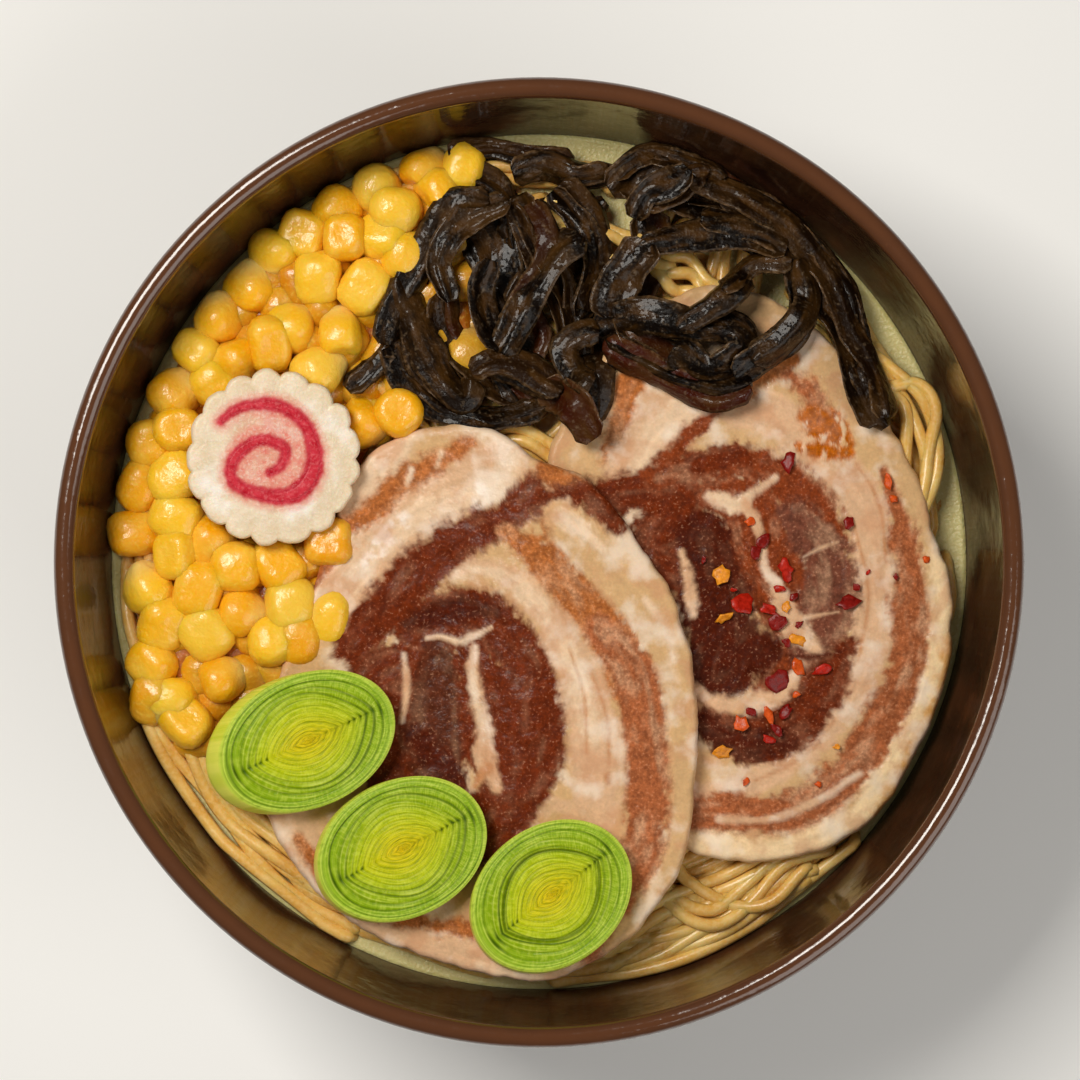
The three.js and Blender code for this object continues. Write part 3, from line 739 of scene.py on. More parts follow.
def meat_material():
    s = Shader(
        "braised_pork", specular_ior_level=0.08, coat_weight=0.08, coat_roughness=0.08,
        **translucent(0.1, 0.0012),
    )
    lean = s.maths("SUBTRACT", 1.0, s.value("fat"))
    fibre = s.noise(1.5, 5)
    grain = s.noise(0.6, 3)
    shade = s.ramp(s.mix(0.5, fibre, grain), (0.38, (0.56, 0.5, 0.46, 1)), (0.5, (1, 1, 1, 1)),
                   (0.62, (1.5, 1.5, 1.5, 1)))
    flesh = s.mix(s.spread(lean, 0, 1, 0.15, 0.7), s.colour("paint"), shade, "MULTIPLY")
    frost = s.times(s.spread(grain, 0.6, 0.75), s.spread(lean, 0, 1, 0.15, 0.3))
    flesh = s.mix(frost, flesh, srgb(222, 170, 134))
    streak = s.times(s.spread(s.noise(7, 5), 0.5, 0.62), s.value("fat"))
    flesh = s.mix(s.times(streak, 0.5), flesh, srgb(202, 146, 108))
    pale = s.times(s.spread(s.noise(8, 5), 0.5, 0.64), s.value("fat"))
    flesh = s.mix(s.times(pale, 0.55), flesh, srgb(246, 230, 212))
    s.drive("Base Color", flesh)
    dull = s.spread(s.noise(4), 0.35, 0.65, 0.22, 0.4)
    s.drive("Roughness", s.maths("ADD", dull, s.times(lean, 0.14)))
    ripples = s.bump(s.noise(3.5, 3), 0.35)
    s.relief(s.bump(s.mix(0.5, fibre, grain), 0.12, normal=ripples))
    return s.material


def slice_top(x, y):
    """Height of a slice's face before its relief."""
    return SLICE_BASE_Z + SLICE_THICKNESS + 0.35 * noise(x, y, 22, 5)


def build_slice(name, outline, centre, strokes, rise, seed, material, node):
    """A slice with a finely ringed face round its centre, a frayed edge and a plain underside."""
    edge = smooth_line(outline, SLICE_SECTORS, closed=True) - centre
    reach = np.linalg.norm(edge, axis=1)
    frayed = reach - 0.5 - 0.7 * noise(edge[:, 0], edge[:, 1], 5, seed)
    edge *= (frayed / reach)[:, None]
    shares = np.linspace(0, 1, SLICE_ROWS + 1)[1:] ** 0.85
    xy = centre + edge * shares[:, None, None]
    x, y = xy[..., 0], xy[..., 1]
    colour, fat = paint(x, y, strokes, seed)
    near = np.clip(SLICE_ROUNDING - frayed * (1 - shares[:, None]), 0, SLICE_ROUNDING)
    drop = SLICE_ROUNDING - np.sqrt(SLICE_ROUNDING**2 - near**2)
    relief = 0.3 * fat + 0.3 * noise(x, y, 7, seed + 2) + 0.12 * noise(x, y, 1.6, seed + 3)
    top = np.dstack([x, y, slice_top(x, y) + rise(x) + relief - drop])
    lower = []
    for share, depth in SLICE_UNDERSIDE:
        flat = centre + edge * share
        z = slice_top(*flat.T) + rise(flat[:, 0]) - depth
        lower.append(np.column_stack([flat, z]))
    lower = np.array(lower)
    colours = np.concatenate([colour, np.repeat(colour[-1:], len(lower), axis=0)])
    fats = np.concatenate([fat, np.repeat(fat[-1:], len(lower), axis=0)])
    rings = np.concatenate([top, lower])
    made = Skin()
    start, end = (*centre, top[0, :, 2].mean()), (*centre, lower[-1, :, 2].mean())
    made.add(rings, start, end, paint=colours, fat=fats)
    made.piece(name, material, [node])


def build_pork():
    material = meat_material()
    flat = np.zeros_like
    build_slice("pork_back_slice", BACK_OUTLINE, BACK_CENTRE, BACK_STROKES, flat, 41,
                material, "pork_back")
    build_slice("pork_front_slice", FRONT_OUTLINE, FRONT_CENTRE, FRONT_STROKES, drape, 57,
                material, "pork_front")


# ---- Sweetcorn ----------------------------------------------------------------------------------
CORN_OUTLINE = [
    (-27, 80.5), (-42, 73.5), (-57, 62.5), (-70, 47), (-79, 29), (-83.2, 12), (-83.5, -5),
    (-79.5, -24), (-73, -38), (-62, -37), (-52, -29), (-43, -18), (-38, -4), (-37, 12),
    (-33, 24), (-22, 30), (-13, 42), (-12, 62), (-10, 78),
]
CORN_CENTRE = (-52, 22)
CORN_TOP_Z, CORN_BASE_Z = 65.6, 55.2
KERNEL_REACH = 82  # a kernel's middle is no further out
LOWER_PITCH = 8.2  # spacing in the layer below
# Kernels of the top layer.
KERNELS = [
    (-23, 80), (-33, 76.5), (-19.5, 74), (-15.5, 79), (-41.5, 72), (-29, 70), (-39, 65),
    (-47.5, 66), (-54, 62.5), (-27, 61.5), (-44.5, 57.5), (-35, 55.5), (-58, 55.5), (-64.5, 49.5),
    (-49.5, 47.5), (-40, 46), (-54.5, 44), (-68.5, 42), (-61, 40), (-44, 38.5), (-65, 36),
    (-73, 34), (-72.5, 26.5), (-79, 24), (-80.5, 15.5), (-73, 17), (-73, 9), (-81.5, 5.5),
    (-72.5, 1.5), (-66, 3.5), (-61, -1), (-52.5, -1), (-42, 4), (-79, -5), (-68.5, -5.5),
    (-59.5, -10), (-50, -8.5), (-42.5, -11), (-75.5, -12), (-67, -14), (-53.5, -16),
    (-77.5, -20.5), (-63.5, -23.5), (-74.5, -28), (-35, 28), (-28, 30), (-48, -15.5), (-31, 65),
    (-80, -27.5), (-71, -32.5),
]
CAKE_AT, CAKE_TILT = (-53.2, 20.8, 64.2), (2, 3)
CAKE_RADIUS = 17.3


def corn_material():
    s = Shader(
        "sweetcorn", specular_ior_level=0.4, coat_weight=0.35, coat_roughness=0.12,
        **translucent(0.3, 0.003),
    )
    tint = s.value("tint")
    skin = s.ramp(
        tint,
        (0.0, srgb(242, 196, 62)), (0.35, srgb(248, 192, 34)), (0.7, srgb(244, 174, 12)),
        (1.0, srgb(226, 142, 2)),
    )
    skin = s.mix(s.spread(s.noise(5), 0.45, 0.75, 0, 0.5), skin, srgb(250, 206, 84))
    skin = s.mix(s.value("tip"), skin, srgb(236, 200, 112))
    # Painted shade: the lower layer of kernels and the core beneath darken by their low value, as
    # if shaded by the top layer.
    skin = s.mix(s.value("low"), skin, srgb(168, 92, 2))
    frost = s.spread(s.noise(0.8, 3), 0.55, 0.75, 0, 0.35)
    s.drive("Base Color", s.mix(frost, skin, srgb(252, 220, 104)))
    s.drive("Roughness", s.spread(s.noise(3), 0.35, 0.65, 0.28, 0.5))
    s.relief(s.bump(s.noise(0.7, 2), 0.06, normal=s.bump(s.noise(2.6, 3), 0.4)))
    return s.material


def kernel(rng):
    """A kernel with its crown at +Z: a squarish wedge, sometimes dented, narrowing to its tip."""
    width, thickness, height = rng.uniform(5.0, 6.2), rng.uniform(4.2, 5.4), rng.uniform(4.8, 6)
    down = np.linspace(0, math.pi, 15)[1:-1][:, None]
    angle = full_turn(20)
    girth = np.sin(down) ** 0.7
    rise = np.sign(np.cos(down)) * np.abs(np.cos(down)) ** 0.8
    narrow = 1 - 0.42 * smooth(-rise, -0.2, 1)
    corner = rng.uniform(2.0, 3.6)
    square = (np.abs(np.cos(angle)) ** corner + np.abs(np.sin(angle)) ** corner) ** (-1 / corner)
    x = width * girth * narrow * square * np.cos(angle)
    y = thickness * girth * (1 - 0.25 * smooth(-rise, 0, 1)) * square * np.sin(angle)
    dent = rng.choice([0.0, 0.6, 1.8], p=[0.45, 0.3, 0.25])
    z = height * rise - dent * np.exp(-((girth / 0.5) ** 2)) * (rise > 0)
    apart = rng.uniform(0, 60)
    lumps = 1 + 0.07 * noise(x + apart, y + z, 4, 61)
    rings = np.stack([x * lumps, y * lumps, z * lumps], axis=-1)
    tip = smooth(-rise, 0.1, 0.95) * np.ones_like(x)
    return rings, tip


def corn_level(x, y):
    """Height of the corn heap's top: lower at the rim and under the fish cake."""
    radius = np.hypot(x, y)
    under_cake = smooth(np.hypot(x - CAKE_AT[0], y - CAKE_AT[1]), CAKE_RADIUS + 3, CAKE_RADIUS - 2)
    return CORN_TOP_Z - 3.0 * smooth(radius, 74, 85) - 2.2 * under_cake


def build_corn_core(material):
    edge = smooth_line(CORN_OUTLINE, 120, closed=True) - CORN_CENTRE
    shares = np.linspace(0.04, 0.97, 40)
    top = np.empty((40, 120, 3))
    top[..., :2] = CORN_CENTRE + edge * shares[:, None, None]
    lumps = noise(top[..., 0], top[..., 1], 6, 23)
    top[..., 2] = corn_level(top[..., 0], top[..., 1]) - 6.5 + 0.8 * lumps
    top[-1, :, 2] -= 2
    base = top[-1:].copy()
    base[..., 2] = CORN_BASE_Z
    core = Skin()
    core.add(np.concatenate([top, base]), (*CORN_CENTRE, top[0, :, 2].mean()),
             # The core, seen only between kernels, is painted darkest: the deepest tint and full
             # painted shade (low 1).
             (*CORN_CENTRE, CORN_BASE_Z), tint=1.0, tip=0.0, low=1.0)
    core.piece("corn_core", material)


# low sets how much painted shade the kernel gets.
def add_kernel(kernels, rng, x, y, top_z, upright, low=0.0):
    rings, tip = kernel(rng)
    lean = math.radians(rng.uniform(0, 28) if upright else rng.uniform(60, 100))
    turn = rng.uniform(0, 2 * math.pi)
    spin = Matrix.Rotation(rng.uniform(0, 2 * math.pi), 4, "Z")
    pose = Matrix.Rotation(turn, 4, "Z") @ Matrix.Rotation(lean, 4, "X") @ spin
    rings = placed(rings, pose)
    rings += (x, y, top_z - rings[..., 2].max())
    kernels.add(rings, tint=rng.beta(2, 2.2), tip=tip, low=low)


def build_corn():
    rng = np.random.default_rng(19)
    material = corn_material()
    build_corn_core(material)
    kernels = Skin()
    for x, y in KERNELS:
        pull = min(1, KERNEL_REACH / math.hypot(x, y))
        x, y = x * pull, y * pull
        level = corn_level(x, y) + rng.uniform(-0.9, 0.4)
        add_kernel(kernels, rng, x, y, level, rng.random() < 0.6)

    edge = smooth_line(CORN_OUTLINE, 90, closed=True) - CORN_CENTRE
    bearings = np.arctan2(edge[:, 1], edge[:, 0])
    for row in range(-9, 9):
        for column in range(-9, 9):
            x = CORN_CENTRE[0] + LOWER_PITCH * (column + 0.5 * (row % 2)) + rng.normal(0, 1.2)
            y = CORN_CENTRE[1] + 0.87 * LOWER_PITCH * row + rng.normal(0, 1.2)
            away = math.hypot(x - CORN_CENTRE[0], y - CORN_CENTRE[1])
            bearing = math.atan2(y - CORN_CENTRE[1], x - CORN_CENTRE[0])
            nearest = np.argmin(np.abs(np.angle(np.exp(1j * (bearings - bearing)))))
            inside = away < np.hypot(*edge[nearest]) - 2.5
            if inside and math.hypot(x, y) < KERNEL_REACH - 0.5:
                level = corn_level(x, y) - rng.uniform(3.2, 4.6)
                # Kernels of the lower layer get part of the painted shade (low 0.45).
                add_kernel(kernels, rng, x, y, level, rng.random() < 0.4, 0.45)
    kernels.piece("corn_kernels", material, ["corn"])


# ---- Black fungus -------------------------------------------------------------------------------
# Strips: layer of the heap, width and route.
STRIPS = [
    (1, 5, [(-18, 82), (-10, 83), (-2, 81.5), (7, 80)]),
    (1, 6, [(-17.5, 81), (-11, 77.5), (-6, 72.5), (-5.5, 64.5)]),
    (1, 6, [(20, 79.5), (30, 77.5), (40, 73.5), (50, 68.5)]),
    (1, 7, [(-4, 52.5), (0, 44.5), (-4, 36.5), (0, 28.5)]),
    (1, 7, [(10, 71.5), (4, 66.5), (0, 58.5), (-4, 50.5)]),
    (1, 6, [(-20, 54.5), (-19, 46.5), (-12, 38), (-4, 32.5)]),
    (1, 9, [(-14, 72), (-8, 62), (-6, 52), (-1, 40)]),
    (1, 9, [(-26, 62), (-24, 52), (-22, 40), (-14, 33)]),
    (1, 9, [(2, 74), (6, 62), (8, 50), (10, 38), (8, 28)]),
    (1, 8, [(16, 76), (26, 74), (36, 70), (46, 64)]),
    (1, 8, [(22, 70), (24, 62), (20, 52), (22, 44), (34, 40)]),
    (2, 6, [(-5, 77.5), (1, 79.5), (8, 77), (14.5, 78)]),
    (2, 7, [(14, 75.5), (19, 79.5), (26, 80), (33, 78.5), (36, 75)]),
    (2, 5, [(36, 75), (47, 70), (56, 62), (61.5, 54), (63, 46.5), (66, 36.5)]),
    (2, 6, [(-39, 35), (-33, 40), (-29.5, 43.5), (-27, 37), (-20, 31), (-10, 29), (0, 31.5)]),
    (2, 6, [(52, 62), (56.5, 54.5), (60, 46.5), (62, 36.5), (66.5, 27.5)]),
    (2, 7, [(4, 76.5), (10, 69.5), (12, 60.5), (9, 50.5)]),
    (2, 6, [(13, 43.5), (20, 39.5), (28, 35.5), (36, 33.5), (42, 35)]),
    (2, 6, [(-4, 74.5), (0, 64.5), (4, 54.5), (7, 44.5), (7, 35.5)]),
    (3, 6, [(-9.5, 72.5), (-17, 71.5), (-21.5, 63.5), (-28, 52.5), (-29.5, 46.5), (-30, 43.5)]),
    (3, 6.5, [(-27.5, 57.5), (-25.5, 50.5), (-23, 42.5), (-18, 34.5), (-15.5, 32.5),
              (-13.5, 36.5)]),
    (3, 5.5, [(-6, 72.5), (-12, 69.5), (-17.5, 64.5), (-20, 59.5), (-18, 52.5)]),
    (3, 6, [(30, 77), (40, 73), (50, 67), (58, 57.5), (62, 46.5), (68, 35.5), (69, 28.5)]),
    (3, 6, [(20, 72.5), (28, 74.5), (32, 77.5), (34.5, 78)]),
    (3, 7, [(32, 69.5), (41, 67.5), (50, 63.5), (53, 54.5), (50, 45.5), (44, 41.5), (38, 37.5)]),
    (3, 7, [(11, 46.5), (20, 48.5), (30, 47.5), (40, 46.5), (41, 42.5), (34, 38), (26, 42.5)]),
    (3, 6, [(-12, 41.5), (-5, 38.5), (2, 35.5), (8, 37)]),
    (3, 8, [(1, 35.5), (7, 31.5), (12, 24.5)]),
    (3, 6, [(-2, 72.5), (2, 62.5), (-2, 54.5), (-7, 46.5), (-9, 42)]),
    (4, 6, [(-10.5, 61), (-12, 54.5), (-10, 46.5), (-7.5, 42.5)]),
    (4, 7, [(-8, 42), (-3, 50.5), (2, 58.5), (8, 65.5)]),
    (4, 6, [(-13, 38), (-8, 40), (-2, 38), (4.5, 34)]),
    (4, 8, [(22, 64.5), (18.5, 59.5), (15, 52.5), (14.5, 49)]),
    (4, 6, [(12, 46.5), (8.5, 46.5), (5, 43.5), (7, 38.5), (10.5, 35.5)]),
    (4, 6, [(21, 63), (30, 64.5), (40, 65), (49, 62.5)]),
    (4, 6, [(52, 60.5), (54, 52.5), (48, 43.5), (42.5, 40)]),
    (4, 6, [(18, 69.5), (21, 74.5), (28, 77), (30, 78.5)]),
    (4, 5, [(36, 54.5), (43, 59.5), (51, 60)]),
    (4, 5.5, [(28, 46.5), (36, 52.5), (41, 57.5)]),
]


def fungus_material():
    s = Shader("black_fungus", specular_ior_level=0.12, coat_weight=0.2, coat_roughness=0.06)
    lengthwise = s.noise(1.0, 5, s.vector(s.value("run"), s.value("across"), s.value("tint")))
    patch = s.noise(9, 4)
    fine = s.noise(0.9, 4)
    flesh = s.ramp(
        s.value("tint"),
        (0.0, srgb(10, 4, 1)), (0.5, srgb(20, 9, 2)), (0.8, srgb(42, 23, 6)),
        (1.0, srgb(60, 18, 5)),
    )
    flesh = s.mix(s.spread(patch, 0.5, 0.7, 0, 0.6), flesh, srgb(72, 46, 14))
    flesh = s.mix(s.spread(lengthwise, 0.5, 0.68, 0, 0.55), flesh, srgb(84, 54, 20))
    ragged = s.spread(fine, 0.4, 0.6, 0.2, 0.9)
    rim = s.times(s.spread(s.value("edge"), 0.8, 1.0), ragged)
    flesh = s.mix(rim, flesh, srgb(112, 84, 54))
    frost = s.spread(fine, 0.58, 0.72, 0, 0.35)
    s.drive("Base Color", s.mix(frost, flesh, srgb(124, 104, 80)))
    s.drive("Roughness", s.spread(patch, 0.35, 0.65, 0.28, 0.46))
    wrinkles = s.bump(s.noise(2.2, 4), 0.7, normal=s.bump(lengthwise, 0.6))
    s.drive("Normal", s.bump(fine, 0.25, normal=wrinkles))
    s.drive("Coat Normal", s.bump(s.noise(2.6, 2), 0.45))
    return s.material


NEST_TOP_Z = 58.6
FUNGUS_TOP_Z = 73.6
FUNGUS_LAYER = 1.8  # rise from one layer of the heap to the next


def fungus_support():
    """A function for the height of what the strips lie on: noodles, or a pork slice."""
    slices = []
    for outline, centre in ((BACK_OUTLINE, BACK_CENTRE), (FRONT_OUTLINE, FRONT_CENTRE)):
        reach = smooth_line(outline, 240, closed=True) - centre
        bearings = np.arctan2(reach[:, 1], reach[:, 0])
        order = np.argsort(bearings)
        slices.append((centre, bearings[order], np.hypot(*reach[order].T)))

    def support(x, y):
        height = np.full(x.shape, NEST_TOP_Z)
        for centre, bearings, reach in slices:
            bearing = np.arctan2(y - centre[1], x - centre[0])
            margin = np.interp(bearing, bearings, reach) - np.hypot(x - centre[0], y - centre[1])
            height += SLICE_STEP * smooth(margin, -3, 1)
        return height

    return support


def add_strip(strips, rng, support, layer, width, route):
    """A thin strip, curled across and folded along, laid over what is below it."""
    across = np.concatenate([np.linspace(-1, 1, 11), np.linspace(1, -1, 11)[1:-1]])
    side = np.concatenate([np.ones(11), -np.ones(9)])
    steps = 16 * len(route)
    line = smooth_line([(x, y, 0) for x, y in route], steps)
    length = np.linalg.norm(np.diff(line, axis=0), axis=1).sum()
    travelled = np.linspace(0, 1, steps) * length
    apart = rng.uniform(0, 60)
    line[:, 0] += 1.2 * noise(travelled, apart, 12, 71, 2)
    line[:, 1] += 1.2 * noise(travelled, apart, 12, 72, 2)
    height = support(line[:, 0], line[:, 1]) + 1.5 + FUNGUS_LAYER * (layer - 1)
    height += 1.2 * noise(travelled, apart, 11, 74)
    smear = np.exp(-np.linspace(-2, 2, 13) ** 2)
    height = np.convolve(np.pad(height, 6, mode="edge"), smear / smear.sum(), mode="valid")
    line[:, 2] = np.minimum(height, 71)
    twist = 1.3 * noise(travelled, apart, 20, 75, 2)
    ends = np.minimum(1, 0.55 + 0.3 * np.minimum(travelled, length - travelled))
    scale = ends * (1 + 0.25 * noise(travelled, apart, 13, 77, 2)
                    + 0.12 * noise(travelled, apart, 3, 80, 2))
    curl = rng.uniform(-1.3, 1.6)
    thickness = rng.uniform(0.25, 0.4)
    section = np.column_stack([
        0.5 * width * across,
        curl * across**2 + side * thickness * np.sqrt(1.02 - across**2),
    ])
    rings = sweep(inside_wall(line, 0.5 * width + 0.6), section, twist, scale)
    ruffle = noise(travelled[:, None] + apart, 3 * across, 6, 78, 2)
    crease = noise(travelled[:, None] / 6, 4 * across + apart, 2, 79, 2)
    drift = rng.uniform(-0.5, 0.5) + 0.4 * noise(travelled, apart, 16, 81, 2)
    fold = rng.uniform(0.5, 1.2) * np.exp(-(((across - drift[:, None]) / 0.3) ** 2))
    rings[..., 2] += 1.3 * ruffle * across**2 + 0.35 * crease + fold
    rings[..., 2] = np.clip(rings[..., 2], 57, FUNGUS_TOP_Z)
    level = np.ones((steps, 1))
    strips.add(
        rings, edge=level * np.abs(across), across=1.6 * level * across,
        run=travelled[:, None] / 7 * np.ones_like(across), tint=rng.uniform(0, 1) ** 1.4,
    )


def build_fungus():
    rng = np.random.default_rng(29)
    support = fungus_support()
    strips = Skin()
    for layer, width, route in STRIPS:
        if layer < 3:
            # The lower layers are doubled, so that little shows through them.
            dx, dy = rng.normal(0, 1.6, 2)
            moved = [(x + dx, y + dy) for x, y in route]
            add_strip(strips, rng, support, layer, 0.8 * width, moved)
        add_strip(strips, rng, support, layer, 1.06 * width, route)
    strips.piece("fungus_strips", fungus_material(), ["fungus"])


# ---- Leek slices --------------------------------------------------------------------------------
# Node, centre of the underside, turn of the long axis, tilt, half sizes, lean of the wall, and how
# far the inner layers have sunk.
LEEKS = [
    ("leek_1", (-46, -35.6, 64.2), 25, 0, (18.2, 13.2), (3.6, 0.8), 0.1),
    ("leek_2", (-26.8, -57, 65.3), 27, 4, (17.6, 13.6), (1.6, 0.6), 0.1),
    ("leek_3", (2.8, -66.1, 67.5), 38, 4, (17.2, 13.8), (0.8, 0.8), 0.9),
]
LEEK_THICKNESS = 5.2
LEEK_WALL = [(4.3, 0.0), (3.0, -0.1), (1.5, -0.1), (0.5, 0.0), (0.1, 0.25)]  # height and inset
LEEK_LAYERS = [*np.arange(0.08, 0.79, 0.07), 0.86, 0.94]  # where grooves run, from the middle out


def leek_material():
    s = Shader(
        "leek", specular_ior_level=0.15, coat_weight=0.04, coat_roughness=0.2,
        **translucent(0.15, 0.0015, (0.6, 1.0, 0.2)),
    )
    layer, turn = s.value("layer"), s.value("turn")
    flesh = s.ramp(
        layer,
        (0.0, srgb(238, 204, 0)), (0.3, srgb(216, 206, 0)), (0.55, srgb(194, 204, 0)),
        (0.72, srgb(162, 186, 12)), (0.86, srgb(146, 178, 22)), (0.94, srgb(166, 198, 50)),
        (1.0, srgb(204, 222, 80)),
    )
    threads = s.noise(1.0, 4, s.vector(s.times(layer, 46), turn, 0.0))
    flesh = s.mix(s.spread(threads, 0.35, 0.6, 0.45, 0), flesh, srgb(98, 134, 6))
    pale = s.times(s.spread(threads, 0.5, 0.7), s.spread(layer, 0.3, 0.8, 0.05, 0.6))
    flesh = s.mix(pale, flesh, srgb(208, 220, 104))
    # Fine cut fibres run from the middle outwards.
    fibres = s.noise(1.0, 4, s.vector(s.times(layer, 14),
                                      s.times(turn, 15), 0.0))
    outward = s.spread(layer, 0.2, 0.8, 0.15, 1)
    light = s.times(s.spread(fibres, 0.5, 0.72, 0, 0.4), outward)
    flesh = s.mix(light, flesh, srgb(212, 224, 92))
    shade = s.times(s.spread(fibres, 0.5, 0.3, 0, 0.4), outward)
    flesh = s.mix(shade, flesh, srgb(104, 142, 0))
    # Painted shade: the grooves darken the flesh. The lines between the layers are partly the
    # leek's own dark green, partly shade; the notches at the tips and the step round a sunk middle
    # are painted shade only.
    flesh = s.mix(s.value("groove"), flesh, srgb(60, 92, 2))
    wall = s.ramp(s.noise(1.0, 3, s.vector(turn, s.times(turn, 9), 0.0)),
                  (0.35, srgb(194, 210, 46)), (0.65, srgb(234, 234, 100)))
    s.drive("Base Color", s.mix(s.value("wall"), flesh, wall))
    s.drive("Roughness", s.spread(threads, 0.3, 0.7, 0.25, 0.45))
    s.drive("Normal", s.bump(fibres, 0.12, normal=s.bump(threads, 0.2)))
    return s.material


def leek_grooves(share, angle, sunk, rng):
    """Depth, from 0 to 1, of the grooves between the layers, which also darkens the leek's colour:
    the lines between the layers are partly the leek's own dark green and partly painted shade, and
    the notches at the tips and the step round a sunk middle are painted shade.
    """
    groove = np.zeros((len(share), len(angle)))
    for middle in LEEK_LAYERS:
        drift = 0.008 * np.sin(2 * angle + rng.uniform(0, 6))
        drift += 0.005 * np.sin(5 * angle + rng.uniform(0, 6))
        width = 0.007 + 0.004 * rng.random()
        ends = np.abs(np.cos(angle + rng.normal(0, 0.04))) ** 30
        deep = rng.uniform(0.35, 0.75) * (0.7 + 0.3 * np.sin(angle + rng.uniform(0, 6)))
        deep = deep * (1.3 if middle > 0.6 else 0.65)
        # The notches at the tips are made full depth, so that they are painted dark as shade.
        deep = np.maximum(deep, ends * (0.45 < middle < 0.9))
        spread = width * (1 + 1.2 * ends)
        groove = np.maximum(groove, deep * np.exp(-(((share - middle - drift) / spread) ** 2)))
    # The step round a sunk middle is painted dark as its shadow ring.
    step = smooth(share, 0.7, 0.66) * smooth(share, 0.63, 0.67)
    return np.maximum(groove, 0.8 * sunk * step)


def build_leek(node, at, turn, tilt, size, lean, sunk, seed, material):
    """A disc of nested layers, its long axis along X, and then turned, tilted and moved to at."""
    rng = np.random.default_rng(seed)
    count, rows = 168, 120
    angle = full_turn(count)
    share = np.linspace(0, 1, rows + 1)[1:][:, None]
    # Inner layers narrow to a point at both ends of the long axis; outer ones stay oval.
    point = 1 + 0.7 * smooth(share, 0.88, 0.66)
    slim = 1 - 0.45 * smooth(share, 0.8, 0.05)
    x = size[0] * share * np.cos(angle)
    y = size[1] * share * slim * np.sign(np.sin(angle)) * np.abs(np.sin(angle)) ** point
    groove = leek_grooves(share, angle, sunk, rng)
    depth = 0.5 * groove + 1.1 * sunk * smooth(share, 0.7, 0.66)
    dome = 0.25 * np.sin(math.pi * share) * (1 - 0.5 * share)
    edge_drop = 0.35 * smooth(share, 0.965, 1.0)
    z = LEEK_THICKNESS + dome - depth - edge_drop + 0.12 * noise(x, y, 5, seed)
    rings = [np.stack([x, y, z], axis=-1)]
    level = Matrix.Rotation(math.radians(-turn), 3, "Z") @ Vector((*lean, 0))
    for height, inset in LEEK_WALL:
        slide = height / LEEK_THICKNESS - 1
        wall = np.stack([
            (size[0] - inset) * np.cos(angle) + level[0] * slide,
            (size[1] - inset) * np.sin(angle) + level[1] * slide,
            np.full(count, height),
        ], axis=-1)
        rings.append(wall[None])
    pose = (Matrix.Translation(at) @ Matrix.Rotation(math.radians(-tilt), 4, "Y")
            @ Matrix.Rotation(math.radians(turn), 4, "Z"))
    rings = placed(np.concatenate(rings), pose)
    below = ((0, len(LEEK_WALL)), (0, 0))
    skin = Skin()
    skin.add(
        rings,
        layer=np.pad(share * np.ones(count), below, constant_values=1),
        groove=np.clip(np.pad(groove, below), 0, 1),
        wall=np.pad(np.zeros((rows, count)), below, constant_values=1),
        turn=np.broadcast_to(6 * np.abs(np.sin(angle / 2)), rings.shape[:2]),
    )
    skin.piece(node.replace("leek", "leek_slice"), material, [node])


def build_leeks():
    material = leek_material()
    for seed, leek in enumerate(LEEKS, 81):
        build_leek(*leek, seed, material)


# ---- Fish cake ----------------------------------------------------------------------------------
CAKE_THICKNESS, CAKE_LOBES, CAKE_LOBE = 4.6, 17, 1.5
CAKE_EDGE = 1.0  # radius of the rounded edge
CAKE_WALL = [(2.9, 0.0), (1.4, 0.0), (0.4, 0.15), (0.0, 0.6)]  # height and inset
SWIRL_LINE = [
    (-10.2, 7.3), (-7, 9.8), (0.5, 10.6), (5.8, 7.4), (8.2, 1.8), (7.6, -3.6), (3.7, -7.3),
    (-3.9, -6.8), (-8.2, -4), (-7.3, 0.5), (-1.8, 3.7), (2.4, 1.8), (1.6, -1.4), (-0.6, -2.7),
]
SWIRL_HALF_WIDTH, SWIRL_STEPS = 0.8, 110


def cake_pose():
    return (Matrix.Translation(CAKE_AT) @ Matrix.Rotation(math.radians(CAKE_TILT[0]), 4, "X")
            @ Matrix.Rotation(math.radians(CAKE_TILT[1]), 4, "Y"))


def cake_top(x, y):
    return CAKE_THICKNESS + 0.25 * noise(x, y, 7, 91) + 0.06 * noise(x, y, 1.2, 92)


def swirl_band():
    """Stops of the swirl with its half width, which swells at the bottom and thins at both ends."""
    line = smooth_line(SWIRL_LINE, SWIRL_STEPS)
    share = np.linspace(0, 1, SWIRL_STEPS)
    thin = np.minimum(1, np.minimum(0.45 + 4 * share, 0.6 + 3 * (1 - share)))
    swell = 0.7 * np.exp(-(((share - 0.45) / 0.12) ** 2))
    return np.column_stack([line, (SWIRL_HALF_WIDTH + swell) * thin])


def pink_tone(s):
    """The pink of the swirl, which also stains the paste beside it."""
    return s.ramp(s.noise(1.6, 4), (0.3, srgb(184, 8, 34)), (0.72, srgb(214, 54, 70)))


